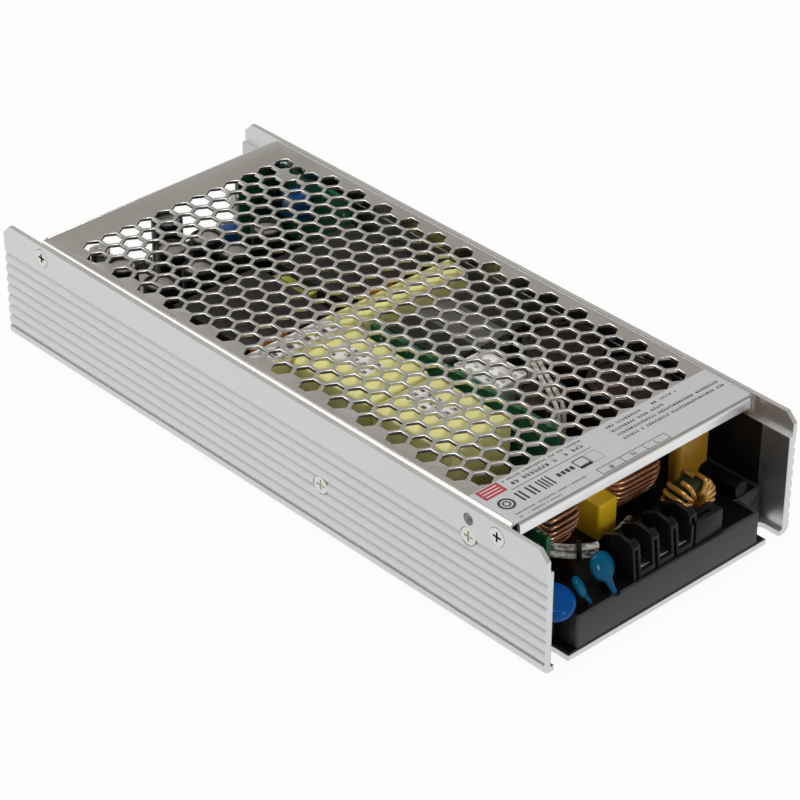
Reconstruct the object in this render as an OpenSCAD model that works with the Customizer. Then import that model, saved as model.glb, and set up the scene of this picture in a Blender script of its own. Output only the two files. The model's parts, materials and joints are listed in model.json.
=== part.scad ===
// Enclosed switching power supply: ribbed case, perforated cover, potted tray and its parts.
// Millimetres. X runs across, Y along the length with the mains end at -Y, Z is up.

/* [Case] */
// Length of the case from end to end
case_l = 237; // [236:0.5:240]
// Width over the ribs
case_w = 100; // [99.5:0.1:102]
// Height of the two walls
wall_h = 40.4; // [40:0.1:42]
// Thickness of the base plate
floor_t = 1.7; // [1.4:0.1:1.8]
// Thickness of the wall above the ledge
wall_t = 1.5; // [1.3:0.1:1.8]
// Width of the ledge that carries the cover
ledge_w = 1.3; // [1.1:0.1:1.4]
// Height of the ledge
ledge_z = 33.4; // [32.8:0.1:33.8]
// Spacing of the grooves in the walls
rib_pitch = 3.71; // [3.5:0.01:3.75]
// How far a rib bulges past the groove
rib_depth = 0.55; // [0.3:0.05:0.7]
// Height of the lowest groove
rib_first = 3.7; // [3.4:0.1:3.9]
// Width of a groove
groove_w = 0.4; // [0.2:0.05:0.6]
// Number of grooves in each wall
rib_count = 8; // [4:1:8]
// Cut-off at the upper wall corners
wall_chamfer = 3; // [1:0.5:4]
// Width of the open mounting slots in the base
slot_w = 5.6; // [4.5:0.1:6]
// Length of the open mounting slots
slot_l = 8; // [6:0.5:8.4]

/* [Cover] */
// Thickness of the cover sheet
sheet_t = 1; // [0.8:0.1:1.2]
// Outer radius of the folds
fold_r = 1.5; // [1.3:0.1:2]
// Height of the cover over the walls
cover_proud = 0.6; // [0.3:0.1:1]
// Distance from the front end of the case to the cover
cover_front_in = 14.3; // [13.5:0.1:15]
// Distance from the rear end of the case to the cover
cover_rear_in = 16; // [15:0.1:17]
// Drop of the front and rear lips
lip_drop = 3.8; // [3:0.1:5]
// Spacing of the hexagonal holes
hex_pitch = 7; // [6.8:0.05:7.05]
// Bar between two hexagonal holes
hex_bar = 1.1; // [0.9:0.05:1.6]
// Rows of holes across the length
hex_rows = 29; // [15:2:29]
// Holes in the rows with the most holes
hex_most = 13; // [9:2:13]
// Radius of the access hole over the trimmer
access_r = 2.6; // [2:0.1:2.7]

/* [Screws] */
// Radius of the cover screw heads
cover_head_r = 2.9; // [2.5:0.1:3]
// Radius of the wall screw heads
wall_head_r = 2.8; // [2.4:0.1:2.9]
// Radius of the screw shanks
shank_r = 1.5; // [1.3:0.05:1.6]
// Gap around screws and heads
screw_gap = 0.15; // [0.1:0.05:0.3]

/* [Tray] */
// Height of the tray above the base plate
tray_h = 11; // [10.5:0.1:11.5]
// Wall thickness of the tray
tray_t = 1.2; // [0.8:0.1:1.5]
// Width of the narrow front of the tray
tray_nose_w = 74; // [73:0.5:75]
// Length of the narrow front of the tray
tray_nose_l = 8.4; // [8.2:0.1:9]
// Level of the potting below the brim
pour_gap = 0.15; // [0.1:0.05:0.4]
// Thickness of the circuit boards
board_t = 1.6; // [1:0.1:2]
// Height of the main board over the tray floor
board_lift = 3.2; // [2.5:0.1:3.5]

/* [Mains end] */
// Spacing of the mains poles
pole_pitch = 7.62; // [7.4:0.01:7.7]
// Thickness of a barrier
barrier_t = 3; // [2.6:0.1:3.2]
// Height of the barriers over the potting
barrier_h = 11.8; // [9:0.1:12.5]
// Wire of the common-mode choke
yellow_wire = 1.4; // [1:0.1:1.5]
// Wire of the two filter chokes
copper_wire = 1.25; // [0.8:0.05:1.3]
// Turns on each filter choke
choke_turns = 18; // [12:1:18]
// Turns in each half of the common-mode choke
half_turns = 6; // [3:1:6]
// Width of the yellow capacitor
x_front_w = 7.6; // [6:0.1:8]
// Radius of the small discs
disc_r = 4.1; // [3.2:0.1:4.3]
// Radius of the varistor
varistor_r = 6.4; // [6:0.1:6.6]

/* [Middle] */
// Width of the taped boost inductors
boost_w = 25.4; // [24:0.1:26]
// Height of the tops of the tall parts
tall_z = 37; // [35:0.1:38]
// Radius of the bulk capacitors
bulk_r = 12.4; // [11:0.1:12.5]
// Depth of the taped isolation bar along the case
bar_l = 9.2; // [8:0.1:9.4]
// Width of one transformer core
core_w = 33; // [30:0.1:34]
// Length of one transformer core
core_l = 34; // [32:0.1:34.4]

/* [Output end] */
// Radius of the output capacitors
out_r = 5; // [4:0.1:5.2]
// Width of one bus bar
bus_w = 11; // [9:0.1:11.5]
// Thickness of one bus bar
bus_t = 2; // [1.5:0.1:2.5]
// Radius of the output screw heads
bus_head_r = 4; // [3.5:0.1:4.4]

/* [Hidden] */
// Smoothness of drawn circles
$fn = 48;
// Small extra length for clean cuts
cut = 0.5;
// Gap between parts that only lean on each other
lean = 0.1;

half_l = case_l / 2;
half_w = case_w / 2;
front = -half_l;
rear = half_l;
cover_z = wall_h + cover_proud;

// Case profile
groove_x = half_w - rib_depth;
upper_x = half_w - wall_t;
lower_x = upper_x - ledge_w;
groove_d = 0.15;
rib_chord = rib_pitch - groove_w;
rib_r = rib_chord * rib_chord / (8 * rib_depth) + rib_depth / 2;
band_r = 2.2;
band_z = rib_first + (rib_count - 1) * rib_pitch + band_r - 0.3;
corner_r = 2.5;
slot_in = half_w - 9.7;

// Screws in the walls
cover_screw_z = (ledge_z + wall_h) / 2 - 0.8;
cover_screw_in = 19;
cover_head_h = 1.1;
cover_shank_l = 2.4;
wall_head_h = 1.2;
wall_screw_z = 16.8;
left_screw_y = -28.4;
right_screw_y = 10;
bridge_y = front + 29.9;
bridge_z = 30.6;
spare_z = cover_screw_z + 0.3;
spare_r = 1.9;
socket_d = 0.6;
socket_w = 0.7;

// Cover
cover_x = upper_x - lean;
cover_front = front + cover_front_in;
cover_rear = rear - cover_rear_in;
hex_r = (hex_pitch - hex_bar) / sqrt(3);
hex_step = hex_pitch * sqrt(3) / 2;
hex_last = cover_front + 22.2;
lip_x = cover_x - fold_r - sheet_t;
hex_side = 1.2;
hex_end = 14;
fit_cols = floor(2 * (cover_x - fold_r - hex_side) / hex_pitch);
fit_rows = floor((cover_rear - hex_end - hex_last) / hex_step) + 1;
field_cols = min(hex_most, 2 * floor((fit_cols - 1) / 2) + 1);
field_rows = min(hex_rows, 2 * floor((fit_rows - 1) / 2) + 1);
access_at = [hex_pitch * (field_cols - 2) / 2, hex_last + (field_rows - 2) * hex_step - 0.3];

// Tray and potting
sheet_under = 0.6;
sheet_x = tray_nose_w / 2 + 2.6;
tray_z = floor_t + sheet_under;
brim_z = floor_t + tray_h;
tray_floor = 1;
tray_x = lower_x - 0.4;
tray_in = tray_x - tray_t;
nose_x = tray_nose_w / 2;
tray_front = front + 0.2;
tray_rear = rear - 9.4;
neck_y = front + tray_nose_l;
tray_r = 1;
pour_z = brim_z - pour_gap;
main_z = tray_z + tray_floor + board_lift;
main_top = main_z + board_t;
main_in = 0.6;
post_r = 2.5;
post_x = 30;
post_y = half_l - 18.5;

// Transistors on the walls
device_size = [4.6, 10, 15.4];
device_low = brim_z + lean;
device_pitch = device_size[1] + 1.4;
device_first = device_size[1] / 2 + 1.6;
clamp_bar = [2, 6];
clamp_face = lower_x - device_size[0] - clamp_bar[0];

// Places of the bulk capacitors, the isolation bar and the transformers
bulk_x = tray_in - bulk_r - lean;
bulk_y = [front + 75.5, front + 49.2];
bar_y = 8.6;
bar_front = bar_y - bar_l / 2;
bar_rear = bar_y + bar_l / 2;
core_y = bar_rear + 4.2 + core_l / 2;

// Film on the right wall
film_t = 0.3;
film_front = front + 10;
film_rear = bulk_y[0] + bulk_r + 2.1;

// Mains terminal block
pole_count = 3;
block_x = 33.4 - lower_x;
block_front = tray_front + tray_t;
block_l = 13;
block_w = pole_pitch * pole_count;
step_h = 2.4;
barrier_lean = 1.1;
barrier_crest = 0.9;
barrier_back = 3.6;
prong_l = 3.4;
plate_t = 1.4;
end_w = block_w + barrier_t + 9.9;
end_l = 5;
end_h = 8;
slit_t = 1.1;
slit_l = 2.4;
end_rim = 1.4;
end_dent = 5.4;
dent_d = 1;
pole_gap = pole_pitch - barrier_t;
clamp_t = 0.9;
clamp_w = pole_gap - 0.6;
clamp_l = 7.6;
clamp_in = 0.8;
mains_head_r = 1.9;
mains_head_h = 1.5;
mains_screw_in = 4.6;
mains_hole_r = 1.25;
mains_shank_r = 1.2;
mains_deep = 2;

// Chokes: outer radius, hole radius and thickness of each bare core
common_core = [6.3, 3.6, 6];
filter_core = [9.5, 5.1, 10];
wide_core = [9.5, 5.1, 14.6];
turn_gap = 0.1;
common_reach = common_core[0] + turn_gap + yellow_wire;
filter_reach = filter_core[0] + turn_gap + copper_wire;
common_at = [block_x + 32.2, front + 11.4, pour_z + lean + common_reach];
left_choke_at = [-18.8, front + 33.4, pour_z + lean + filter_reach];
wide_half = wide_core[2] / 2 + turn_gap + copper_wire;
right_choke_x = bulk_x - bulk_r - 0.45 - wide_half;
right_choke_at = [right_choke_x, bulk_y[1] - 14, pour_z + lean + filter_reach];
core_edge = 0.6;
turn_edge = 0.3;
half_from = -70;
half_to = 70;

// Sleeved leads that bend around the left choke
lead_at = [left_choke_at[0] + 9.4, left_choke_at[1] - 2.2];
lead_bend = 18.9;
lead_from = 180;
lead_end = block_x - 2.1;
lead_sweep = acos((lead_at[0] - lead_end) / lead_bend);
sleeve_r = 1;
lead_z = [pour_z + 4.9, pour_z + 7.5];

// Capacitors and small parts of the mains end
x_front_at = [right_choke_x - wide_half - 2.35 - x_front_w / 2, front + 30.6];
x_front_l = 18;
x_front_top = 24.2;
x_rear_at = [tray_in - 11.4, front + 26];
x_rear_size = [13.4, 5];
x_rear_top = 29;
soft_r = 1;
disc_t = 3;
disc_spots = [[block_x - 7.8, front + 6.4], [block_x - 17.2, front + 4.9]];
disc_sizes = [disc_r, disc_r * 0.82];
disc_turns = [[54, 0, 4], [60, 0, 52]];
disc_z = pour_z + disc_r + 2.4;
lead_r = 0.55;
varistor_t = 4;
varistor_at = [block_x - 26.4, front + 6.8];
varistor_z = brim_z + varistor_t / 2 + 1.5;
varistor_turn = [14, 0, -30];
varistor_leads = [-2.2, 0.6];
varistor_foot_x = block_x - 21;
fuse_r = 2.5;
fuse_l = 14;
fuse_cap_l = 4;
fuse_cap_t = 0.4;
fuse_at = [tray_in - 7, front + 16];
fuse_z = brim_z + lean + fuse_r;

// Bridge rectifier on the left wall
bridge_size = [4, 22, 18];
bridge_low = bridge_z - 14.6;
nut_r = 2.9;
nut_h = 2.2;

// Boards that stand up
input_board_at = [left_choke_at[0] - 15.2, front + 25];
input_board_l = 20;
input_board_top = 30.6;
// Middle row: boost inductors, control board and resonant choke share the room between the clamp bars
resonant_size = [37, bar_front - 4.2 - front - 91.9];
bobbin_over = 1;
middle_free = 2 * (clamp_face - bobbin_over) - boost_w - board_t - resonant_size[0];
boost_x = boost_w / 2 + bobbin_over - clamp_face + middle_free * 0.44;
control_x = boost_x + boost_w / 2 + bobbin_over + board_t / 2 + middle_free * 0.19;
control_face = control_x + board_t / 2;
resonant_x = control_face + resonant_size[0] / 2 + middle_free * 0.26;

control_front = front + 41.5;
control_l = bar_front - 3 - control_front;
control_at = [control_x, control_front + control_l / 2];
control_top = 38;
relay_size = [13, 18.4];
relay_free = bulk_x - bulk_r - control_face - relay_size[0];
relay_at = [control_face + relay_size[0] / 2 + relay_free * 0.33, front + 80.3];
relay_top = 36;

// Boost inductors
boost_gap = 0.5;
boost_front = front + 54.9;
boost_rear = bar_front - 0.3;
boost_l = (boost_rear - boost_front - boost_gap) / 2;
boost_y = [boost_rear - boost_l / 2, boost_front + boost_l / 2];
bobbin_h = pour_z + 2 - main_top;
boost_r = 2.4;

// Bulk capacitors: two large and one small
bulk_top = 36;
sleeve_t = 0.4;
bulk_radii = [bulk_r, bulk_r, bulk_r * 0.62];
bulk_spots = [
  [bulk_x, bulk_y[0]],
  [bulk_x, bulk_y[1]],
  [control_face + 4.3 + bulk_radii[2], front + 61.5]
];
rim_w = 1.2;
rim_d = 0.5;
out_rim_w = 0.6;

// Resonant choke
resonant_at = [resonant_x, bar_front - 4.2 - resonant_size[1] / 2];
resonant_top = 35;
tape_w = 13;
tape_t = 0.5;

// Isolation bar
bar_ends = [3.4 - tray_in, clamp_face - 0.8];
bar_at = [(bar_ends[0] + bar_ends[1]) / 2, bar_y];
bar_w = bar_ends[1] - bar_ends[0];
bar_top = 38;

// Transformers
core_free = clamp_face + tray_in - 2 * core_w;
wind_over = core_free * 0.13;
core_x = [
  clamp_face - core_free * 0.153 - wind_over - core_w / 2,
  core_free * 0.272 - tray_in + wind_over + core_w / 2
];
core_top = 36;
window_l = 19;
window_in = 4;
window_h = 12;
window_z = pour_z + 5;
wind_gap = 0.3;
foil_t = 1;
foil_w = 16;
foil_out = 2.6;
foil_z = core_top - 5;

// Parts of the output end
film_at = [9.6, 84];
film_size = [9, 5];
film_top = 30;
trimmer_size = [7, 7];
trimmer_top = 33;
trimmer_h = 8;
slot_d = 0.8;
signal_w = 18;
signal_at = [tray_in - lean - signal_w / 2, rear - 20.1];
output_board_x = tray_in - 3;
output_board_ends = [60, signal_at[1] - 4.4];
output_board_l = output_board_ends[1] - output_board_ends[0];
output_board_y = output_board_ends[0] + output_board_l / 2;
output_board_top = 37;
signal_top = 35;
header_size = [13, 6, 7];
header_z = 20;
header_wall = 1;
header_back = 2;
indicator_r = 1.5;
indicator_l = 4;
indicator_z = 31.5;
indicator_in = 5;

// Output terminals
base_x = 22.2 - lower_x;
base_w = 30;
base_l = 8;
base_top = 14.4;
bus_x = [base_x - 7.6, base_x + 7.6];
bus_l = 30;
bus_rear = rear - 0.6;
bus_screw_in = 4.8;
bus_hole_r = 2.1;
bus_shank_r = 1.95;
bus_head_h = 3;
washer_t = 1;
divider_t = 2;
divider_h = 6;
bus_deep = 6;
bus_side = bus_x[1] + bus_w / 2;

// Output capacitors: those that would reach the bars or the tray wall are left out
out_top = 36;
out_places = [
  [13.6, 67.6], [-3.2, 63.6], [-17.6, 63.6], [-32, 64.4],
  [-4, 76], [-16, 78], [-34, 80], [bus_side + 0.7 + out_r, 92.4]
];
out_spots = [
  for (p = out_places)
    if (p[1] + out_r + lean < (p[0] - out_r > bus_side ? tray_rear - tray_t : bus_rear - bus_l))
      p
];

// Places of the transistors on both sides of the screw that holds their clamp
function device_row(screw_y, before, after) = [
  for (k = [-before : after])
    if (k != 0)
      screw_y + sign(k) * (device_first + (abs(k) - 1) * device_pitch)
];
right_before = floor((right_screw_y - device_first + device_size[1] / 2 - bulk_y[0] - bulk_r) / device_pitch);
right_after = floor((core_y + core_l / 2 - right_screw_y - device_first + device_size[1] / 2) / device_pitch);
left_device_y = device_row(left_screw_y, 2, 2);
right_device_y = device_row(right_screw_y, right_before, right_after);

// A rectangle with round corners, centred
module soft_rect(w, l, r) {
  square([w - 2 * r, l], center = true);
  square([w, l - 2 * r], center = true);
  for (x = [-1, 1], y = [-1, 1])
    translate([x * (w / 2 - r), y * (l / 2 - r)])
      circle(r);
}

// An upright block with round vertical edges, standing at a height
module soft_block(at, size, low, top, r) {
  translate([at[0], at[1], low])
    linear_extrude(top - low)
      soft_rect(size[0], size[1], r);
}

// A plain upright block, centred on a spot
module block(at, size, low, top) {
  translate([at[0] - size[0] / 2, at[1] - size[1] / 2, low])
    cube([size[0], size[1], top - low]);
}

// An upright round pillar
module pillar(at, r, low, top) {
  translate([at[0], at[1], low])
    cylinder(r = r, h = top - low);
}

// A flat shape drawn in X and Z, run along Y
module along_y(from, to) {
  translate([0, to, 0])
    rotate([90, 0, 0])
      linear_extrude(to - from)
        children();
}

// A flat shape drawn in Y and Z, run along X
module along_x(from, to) {
  translate([from, 0, 0])
    rotate([90, 0, 90])
      linear_extrude(to - from)
        children();
}

// A quarter of a folded sheet, bending down to the right of the origin
module fold_arc() {
  intersection() {
    difference() {
      circle(fold_r);
      circle(fold_r - sheet_t);
    }
    square(fold_r);
  }
}

// A pin that points along X, outwards on one side
module cross_pin(side, x, y, z, r, length) {
  translate([x, y, z])
    rotate([0, side * 90, 0])
      cylinder(r = r, h = length);
}

// The ribs of the right wall
module rib_row() {
  for (i = [1 : rib_count - 1])
    intersection() {
      translate([half_w - rib_r, rib_first + (i - 0.5) * rib_pitch])
        circle(rib_r);
      translate([groove_x - rib_depth, rib_first + (i - 1) * rib_pitch + groove_w / 2])
        square([2 * rib_depth + cut, rib_chord]);
    }
}

// The round foot of the right wall
module wall_foot() {
  intersection() {
    union() {
      translate([half_w - corner_r, corner_r])
        circle(corner_r);
      translate([lower_x, corner_r])
        square([half_w - lower_x, corner_r]);
    }
    translate([lower_x, 0])
      square([half_w - lower_x, rib_first - groove_w / 2]);
  }
}

// The plain band over the ribs, with a round lower edge
module wall_band() {
  intersection() {
    translate([half_w - band_r, band_z])
      circle(band_r);
    translate([upper_x, band_z - band_r])
      square([wall_t, band_r + cut]);
  }
  translate([upper_x, band_z])
    square([wall_t, wall_h - band_z]);
}

// The right wall with its foot, ribs, ledge and band
module wall_profile() {
  translate([lower_x, corner_r])
    square([groove_x - groove_d - lower_x, ledge_z - corner_r]);
  wall_foot();
  rib_row();
  wall_band();
}

// The whole case profile
module case_profile() {
  wall_profile();
  mirror([1, 0])
    wall_profile();
  translate([-lower_x - lean, 0])
    square([2 * (lower_x + lean), floor_t]);
}

// The four open mounting slots in the base
module mount_slots() {
  translate([0, 0, -cut])
    linear_extrude(floor_t + 2 * cut)
      for (x = [-1, 1], y = [-1, 1])
        translate([x * (slot_in + slot_w / 2), y * (half_l - slot_l + slot_w / 2)]) {
          circle(slot_w / 2);
          translate([-slot_w / 2, y > 0 ? 0 : -slot_l])
            square([slot_w, slot_l]);
        }
}

// A countersunk hole in one wall, cut from outside
module sunk_hole(side, y, z) {
  cross_pin(-side, side * (half_w + cut), y, z, shank_r + screw_gap, wall_t + rib_depth + ledge_w + 2 * cut);
  slope = (cover_head_r - shank_r) / (cover_head_h + screw_gap);
  translate([side * (half_w - cover_head_h - screw_gap), y, z])
    rotate([0, side * 90, 0])
      cylinder(r1 = shank_r + screw_gap, r2 = cover_head_r + screw_gap + slope * cut,
               h = cover_head_h + screw_gap + cut);
}

// A counterbored hole in one wall, cut from outside
module bored_hole(side, y, z) {
  cross_pin(-side, side * (half_w + cut), y, z, shank_r + screw_gap, half_w - lower_x + 2 * cut);
  cross_pin(-side, side * (half_w + cut), y, z, wall_head_r + screw_gap, wall_head_h + cut);
}

module case_extrusion() {
  color([0.81, 0.82, 0.83])
    difference() {
      along_y(front, rear)
        case_profile();
      mount_slots();
      for (y = [-1, 1])
        along_x(-half_w - cut, half_w + cut)
          polygon([
            [y * (half_l + cut), wall_h - wall_chamfer - cut],
            [y * (half_l + cut), wall_h + cut],
            [y * (half_l - wall_chamfer - cut), wall_h + cut]
          ]);
      for (side = [-1, 1], y = [front + cover_screw_in, rear - cover_screw_in])
        sunk_hole(side, y, cover_screw_z);
      bored_hole(-1, left_screw_y, wall_screw_z);
      bored_hole(1, right_screw_y, wall_screw_z);
      bored_hole(-1, bridge_y, bridge_z);
      cross_pin(-1, cut - half_w + wall_t, bridge_y, spare_z, spare_r, wall_t + 2 * cut);
    }
}

// One row of hexagonal holes
module hex_row(count) {
  for (i = [0 : count - 1])
    translate([(i - (count - 1) / 2) * hex_pitch, 0])
      rotate(90)
        circle(r = hex_r, $fn = 6);
}

// All holes of the cover, with the access hole in place of two hexagons
module hole_field() {
  for (i = [0 : field_rows - 1])
    translate([0, hex_last + i * hex_step])
      if (i == field_rows - 2)
        difference() {
          hex_row(field_cols);
          translate([access_at[0] - hex_pitch, -hex_pitch])
            square(2 * hex_pitch);
        }
      else
        hex_row(field_cols - (i % 2 == 0 ? 1 : 0));
  translate(access_at)
    circle(access_r);
}

module top_cover() {
  color([0.62, 0.60, 0.57])
    difference() {
      union() {
        translate([0, 0, cover_z - sheet_t])
          linear_extrude(sheet_t)
            difference() {
              translate([fold_r - cover_x, cover_front + fold_r])
                square([2 * (cover_x - fold_r), cover_rear - cover_front - 2 * fold_r]);
              hole_field();
            }
        for (side = [0, 1])
          mirror([side, 0, 0]) {
            along_y(cover_front + fold_r, cover_rear - fold_r) {
              translate([cover_x - fold_r, cover_z - fold_r])
                fold_arc();
              translate([cover_x - sheet_t, ledge_z])
                square([sheet_t, cover_z - fold_r - ledge_z]);
            }
          }
        along_x(-lip_x, lip_x) {
          translate([cover_front + fold_r, cover_z - fold_r])
            mirror([1, 0])
              fold_arc();
          translate([cover_front, cover_z - lip_drop])
            square([sheet_t, lip_drop - fold_r]);
          translate([cover_rear - fold_r, cover_z - fold_r])
            fold_arc();
          translate([cover_rear - sheet_t, cover_z - lip_drop])
            square([sheet_t, lip_drop - fold_r]);
        }
      }
      for (side = [-1, 1], y = [front + cover_screw_in, rear - cover_screw_in])
        cross_pin(-side, side * (half_w + cut), y, cover_screw_z, shank_r + screw_gap, wall_t + sheet_t + 2 * cut);
    }
}

// Cross recess of a screw head that faces along X
module cross_recess(side, x, y, z, r) {
  for (turn = [0, 90])
    translate([x, y, z])
      rotate([turn, 0, 0])
        translate([-side * socket_d, 0, 0])
          cube([2 * socket_d, 2 * r, socket_w], center = true);
}

module cover_screws() {
  color([0.74, 0.75, 0.76])
    for (side = [-1, 1], y = [front + cover_screw_in, rear - cover_screw_in])
      difference() {
        union() {
          translate([side * (half_w - cover_head_h), y, cover_screw_z])
            rotate([0, side * 90, 0])
              cylinder(r1 = shank_r, r2 = cover_head_r, h = cover_head_h);
          cross_pin(-side, side * (half_w - cover_head_h), y, cover_screw_z, shank_r, cover_shank_l);
        }
        cross_recess(side, side * (half_w + socket_d), y, cover_screw_z, cover_head_r * 0.55);
      }
}

// One wall screw with a low head
module wall_screw(side, y, z, length) {
  difference() {
    union() {
      cross_pin(-side, side * (half_w - lean), y, z, wall_head_r, wall_head_h - lean);
      cross_pin(-side, side * (half_w - lean), y, z, shank_r, length);
    }
    cross_recess(side, side * (half_w + socket_d - lean), y, z, wall_head_r * 0.6);
  }
}

wall_screw_l = half_w - lower_x + device_size[0] + clamp_bar[0] - lean;
bridge_screw_l = half_w - lower_x + bridge_size[0] + nut_h - lean;

module wall_screws() {
  color([0.74, 0.75, 0.76]) {
    wall_screw(-1, left_screw_y, wall_screw_z, wall_screw_l);
    wall_screw(1, right_screw_y, wall_screw_z, wall_screw_l);
  }
}

module bridge_screw() {
  color([0.74, 0.75, 0.76])
    wall_screw(-1, bridge_y, bridge_z, bridge_screw_l);
}

module bridge_nut() {
  color([0.72, 0.72, 0.70])
    translate([bridge_size[0] - lower_x, bridge_y, bridge_z])
      rotate([0, 90, 0])
        difference() {
          cylinder(r = nut_r, h = nut_h, $fn = 6);
          translate([0, 0, -cut])
            cylinder(r = shank_r + screw_gap, h = nut_h + 2 * cut);
        }
}

module wall_film() {
  color([0.08, 0.08, 0.08])
    translate([lower_x - film_t, film_front, brim_z])
      cube([film_t, film_rear - film_front, ledge_z - brim_z]);
}

// Plan of the body of the tray, drawn in by a distance
module body_plan(in) {
  translate([in - tray_x, neck_y + in])
    square([2 * (tray_x - in), tray_rear - neck_y - 2 * in]);
}

// Plan of the narrow front of the tray, drawn in by a distance and run up to a line
module nose_plan(in, end) {
  translate([in - nose_x, tray_front + in])
    square([2 * (nose_x - in), end - tray_front - in]);
}

// Posts under the main board
module tray_posts() {
  for (x = [-post_x, post_x], y = [-post_y, 0, post_y])
    pillar([x, y], post_r, tray_z + tray_floor, main_z);
}

module base_film() {
  color([0.07, 0.07, 0.07])
    translate([-sheet_x, tray_front, floor_t])
      cube([2 * sheet_x, tray_rear - tray_front, sheet_under]);
}

module potting_tray() {
  color([0.10, 0.10, 0.10]) {
    difference() {
      translate([0, 0, tray_z])
        linear_extrude(brim_z - tray_z)
          body_plan(0);
      translate([0, 0, tray_z + tray_floor])
        linear_extrude(tray_h) {
          body_plan(tray_t);
          nose_plan(tray_t, neck_y + tray_t + cut);
        }
    }
    tray_posts();
  }
}

module tray_nose() {
  l = neck_y - tray_front + 2 * tray_r;
  color([0.10, 0.10, 0.10])
    difference() {
      translate([0, 0, tray_z])
        linear_extrude(brim_z - tray_z)
          intersection() {
            nose_plan(0, neck_y);
            translate([0, tray_front + l / 2])
              soft_rect(2 * nose_x, l, tray_r);
          }
      translate([0, 0, tray_z + tray_floor])
        linear_extrude(tray_h)
          nose_plan(tray_t, neck_y + cut);
    }
}

module main_board() {
  color([0.10, 0.30, 0.18])
    translate([0, 0, main_z])
      linear_extrude(board_t) {
        body_plan(tray_t + main_in);
        nose_plan(tray_t + main_in, neck_y + tray_t + main_in + cut);
      }
}

// Everything that stands in the potting
module potted_feet() {
  input_body();
  x_capacitor_front();
  x_capacitor_rear();
  input_board();
  relay();
  control_board();
  boost_bobbins();
  bulk_sleeves();
  bulk_cans();
  resonant_core();
  isolation_bar();
  transformer_cores();
  output_sleeves();
  output_cans();
  film_capacitor();
  output_board();
  signal_board();
}

// What the potting flows around
module potting_gaps() {
  main_board();
  tray_posts();
  potted_feet();
}

module potting() {
  color([0.05, 0.05, 0.05])
    difference() {
      translate([0, 0, tray_z + tray_floor])
        linear_extrude(pour_z - tray_z - tray_floor)
          body_plan(tray_t);
      potting_gaps();
    }
}

module potting_nose() {
  color([0.05, 0.05, 0.05])
    difference() {
      translate([0, 0, tray_z + tray_floor])
        linear_extrude(pour_z - tray_z - tray_floor)
          nose_plan(tray_t, neck_y + tray_t);
      potting_gaps();
    }
}

// Side shape of one barrier: it leans back at the front and falls away at the rear
module barrier_side(l) {
  top = pour_z + barrier_h;
  intersection() {
    polygon([
      [block_front, main_top],
      [block_front, pour_z + barrier_lean],
      [block_front + barrier_lean, top - barrier_lean],
      [block_front + 2 * barrier_lean, top],
      [block_front + block_l / 2, top + barrier_crest],
      [block_front + block_l - barrier_lean, top - barrier_back / 2],
      [block_front + block_l, top - barrier_back],
      [block_front + block_l, main_top]
    ]);
    translate([block_front, main_top])
      square([l, top]);
  }
}

// The moulded body of the terminal block, before its holes
module input_body() {
  difference() {
    union() {
      translate([block_x, block_front, main_top])
        cube([block_w + plate_t, block_l, pour_z + step_h - main_top]);
      for (i = [0 : pole_count]) {
        x = block_x + i * pole_pitch;
        along_x(x, x + barrier_t)
          barrier_side(prong_l);
        along_x(x, x + plate_t)
          barrier_side(block_l);
      }
      translate([block_x, block_front + block_l - plate_t, main_top])
        cube([block_w, plate_t, pour_z + barrier_h - barrier_back - main_top]);
      translate([block_x + block_w, block_front, main_top])
        cube([end_w - block_w, end_l, pour_z + end_h - main_top]);
    }
    for (i = [0 : pole_count])
      translate([block_x + i * pole_pitch + (barrier_t - slit_t) / 2, block_front - cut, pour_z + lean])
        cube([slit_t, slit_l + cut, barrier_h - 2 * barrier_lean]);
    translate([block_x + block_w + barrier_t + end_rim, block_front + end_rim, pour_z + end_h - dent_d])
      cube([end_dent, end_rim, dent_d + cut]);
  }
}

module input_block() {
  color([0.09, 0.09, 0.09])
    difference() {
      input_body();
      for (i = [0 : pole_count - 1])
        pillar([pole_x(i), block_front + mains_screw_in], mains_hole_r, pour_z - mains_deep, pour_z + step_h + cut);
    }
}

// Middle of one pole
function pole_x(i) = block_x + barrier_t + pole_gap / 2 + i * pole_pitch;

module input_clamps() {
  color([0.78, 0.77, 0.72])
    for (i = [0 : pole_count - 1])
      difference() {
        translate([pole_x(i) - clamp_w / 2, block_front + clamp_in, pour_z + step_h])
          cube([clamp_w, clamp_l, clamp_t]);
        pillar([pole_x(i), block_front + mains_screw_in], mains_hole_r,
               pour_z + step_h - cut, pour_z + step_h + clamp_t + cut);
      }
}

module input_screws() {
  color([0.80, 0.80, 0.78])
    for (i = [0 : pole_count - 1])
      difference() {
        union() {
          pillar([pole_x(i), block_front + mains_screw_in], mains_head_r,
                 pour_z + step_h + clamp_t, pour_z + step_h + clamp_t + mains_head_h);
          pillar([pole_x(i), block_front + mains_screw_in], mains_shank_r,
                 pour_z - mains_deep / 2, pour_z + step_h + clamp_t + lean);
        }
        block([pole_x(i), block_front + mains_screw_in], [2 * mains_head_r + cut, socket_w],
              pour_z + step_h + clamp_t + mains_head_h - socket_d, pour_z + step_h + clamp_t + mains_head_h + cut);
      }
}

// A ring core around the Z axis
module ring_core(core) {
  rotate_extrude()
    translate([(core[0] + core[1]) / 2, 0])
      soft_rect(core[0] - core[1], core[2], core_edge);
}

// One turn of wire around a ring core
module ring_turn(core, wire) {
  span = core[0] - core[1] + 2 * turn_gap;
  rise = core[2] + 2 * turn_gap;
  rotate([90, 0, 0])
    linear_extrude(wire, center = true)
      translate([(core[0] + core[1]) / 2, 0])
        difference() {
          soft_rect(span + 2 * wire, rise + 2 * wire, wire);
          soft_rect(span, rise, turn_edge);
        }
}

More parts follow.
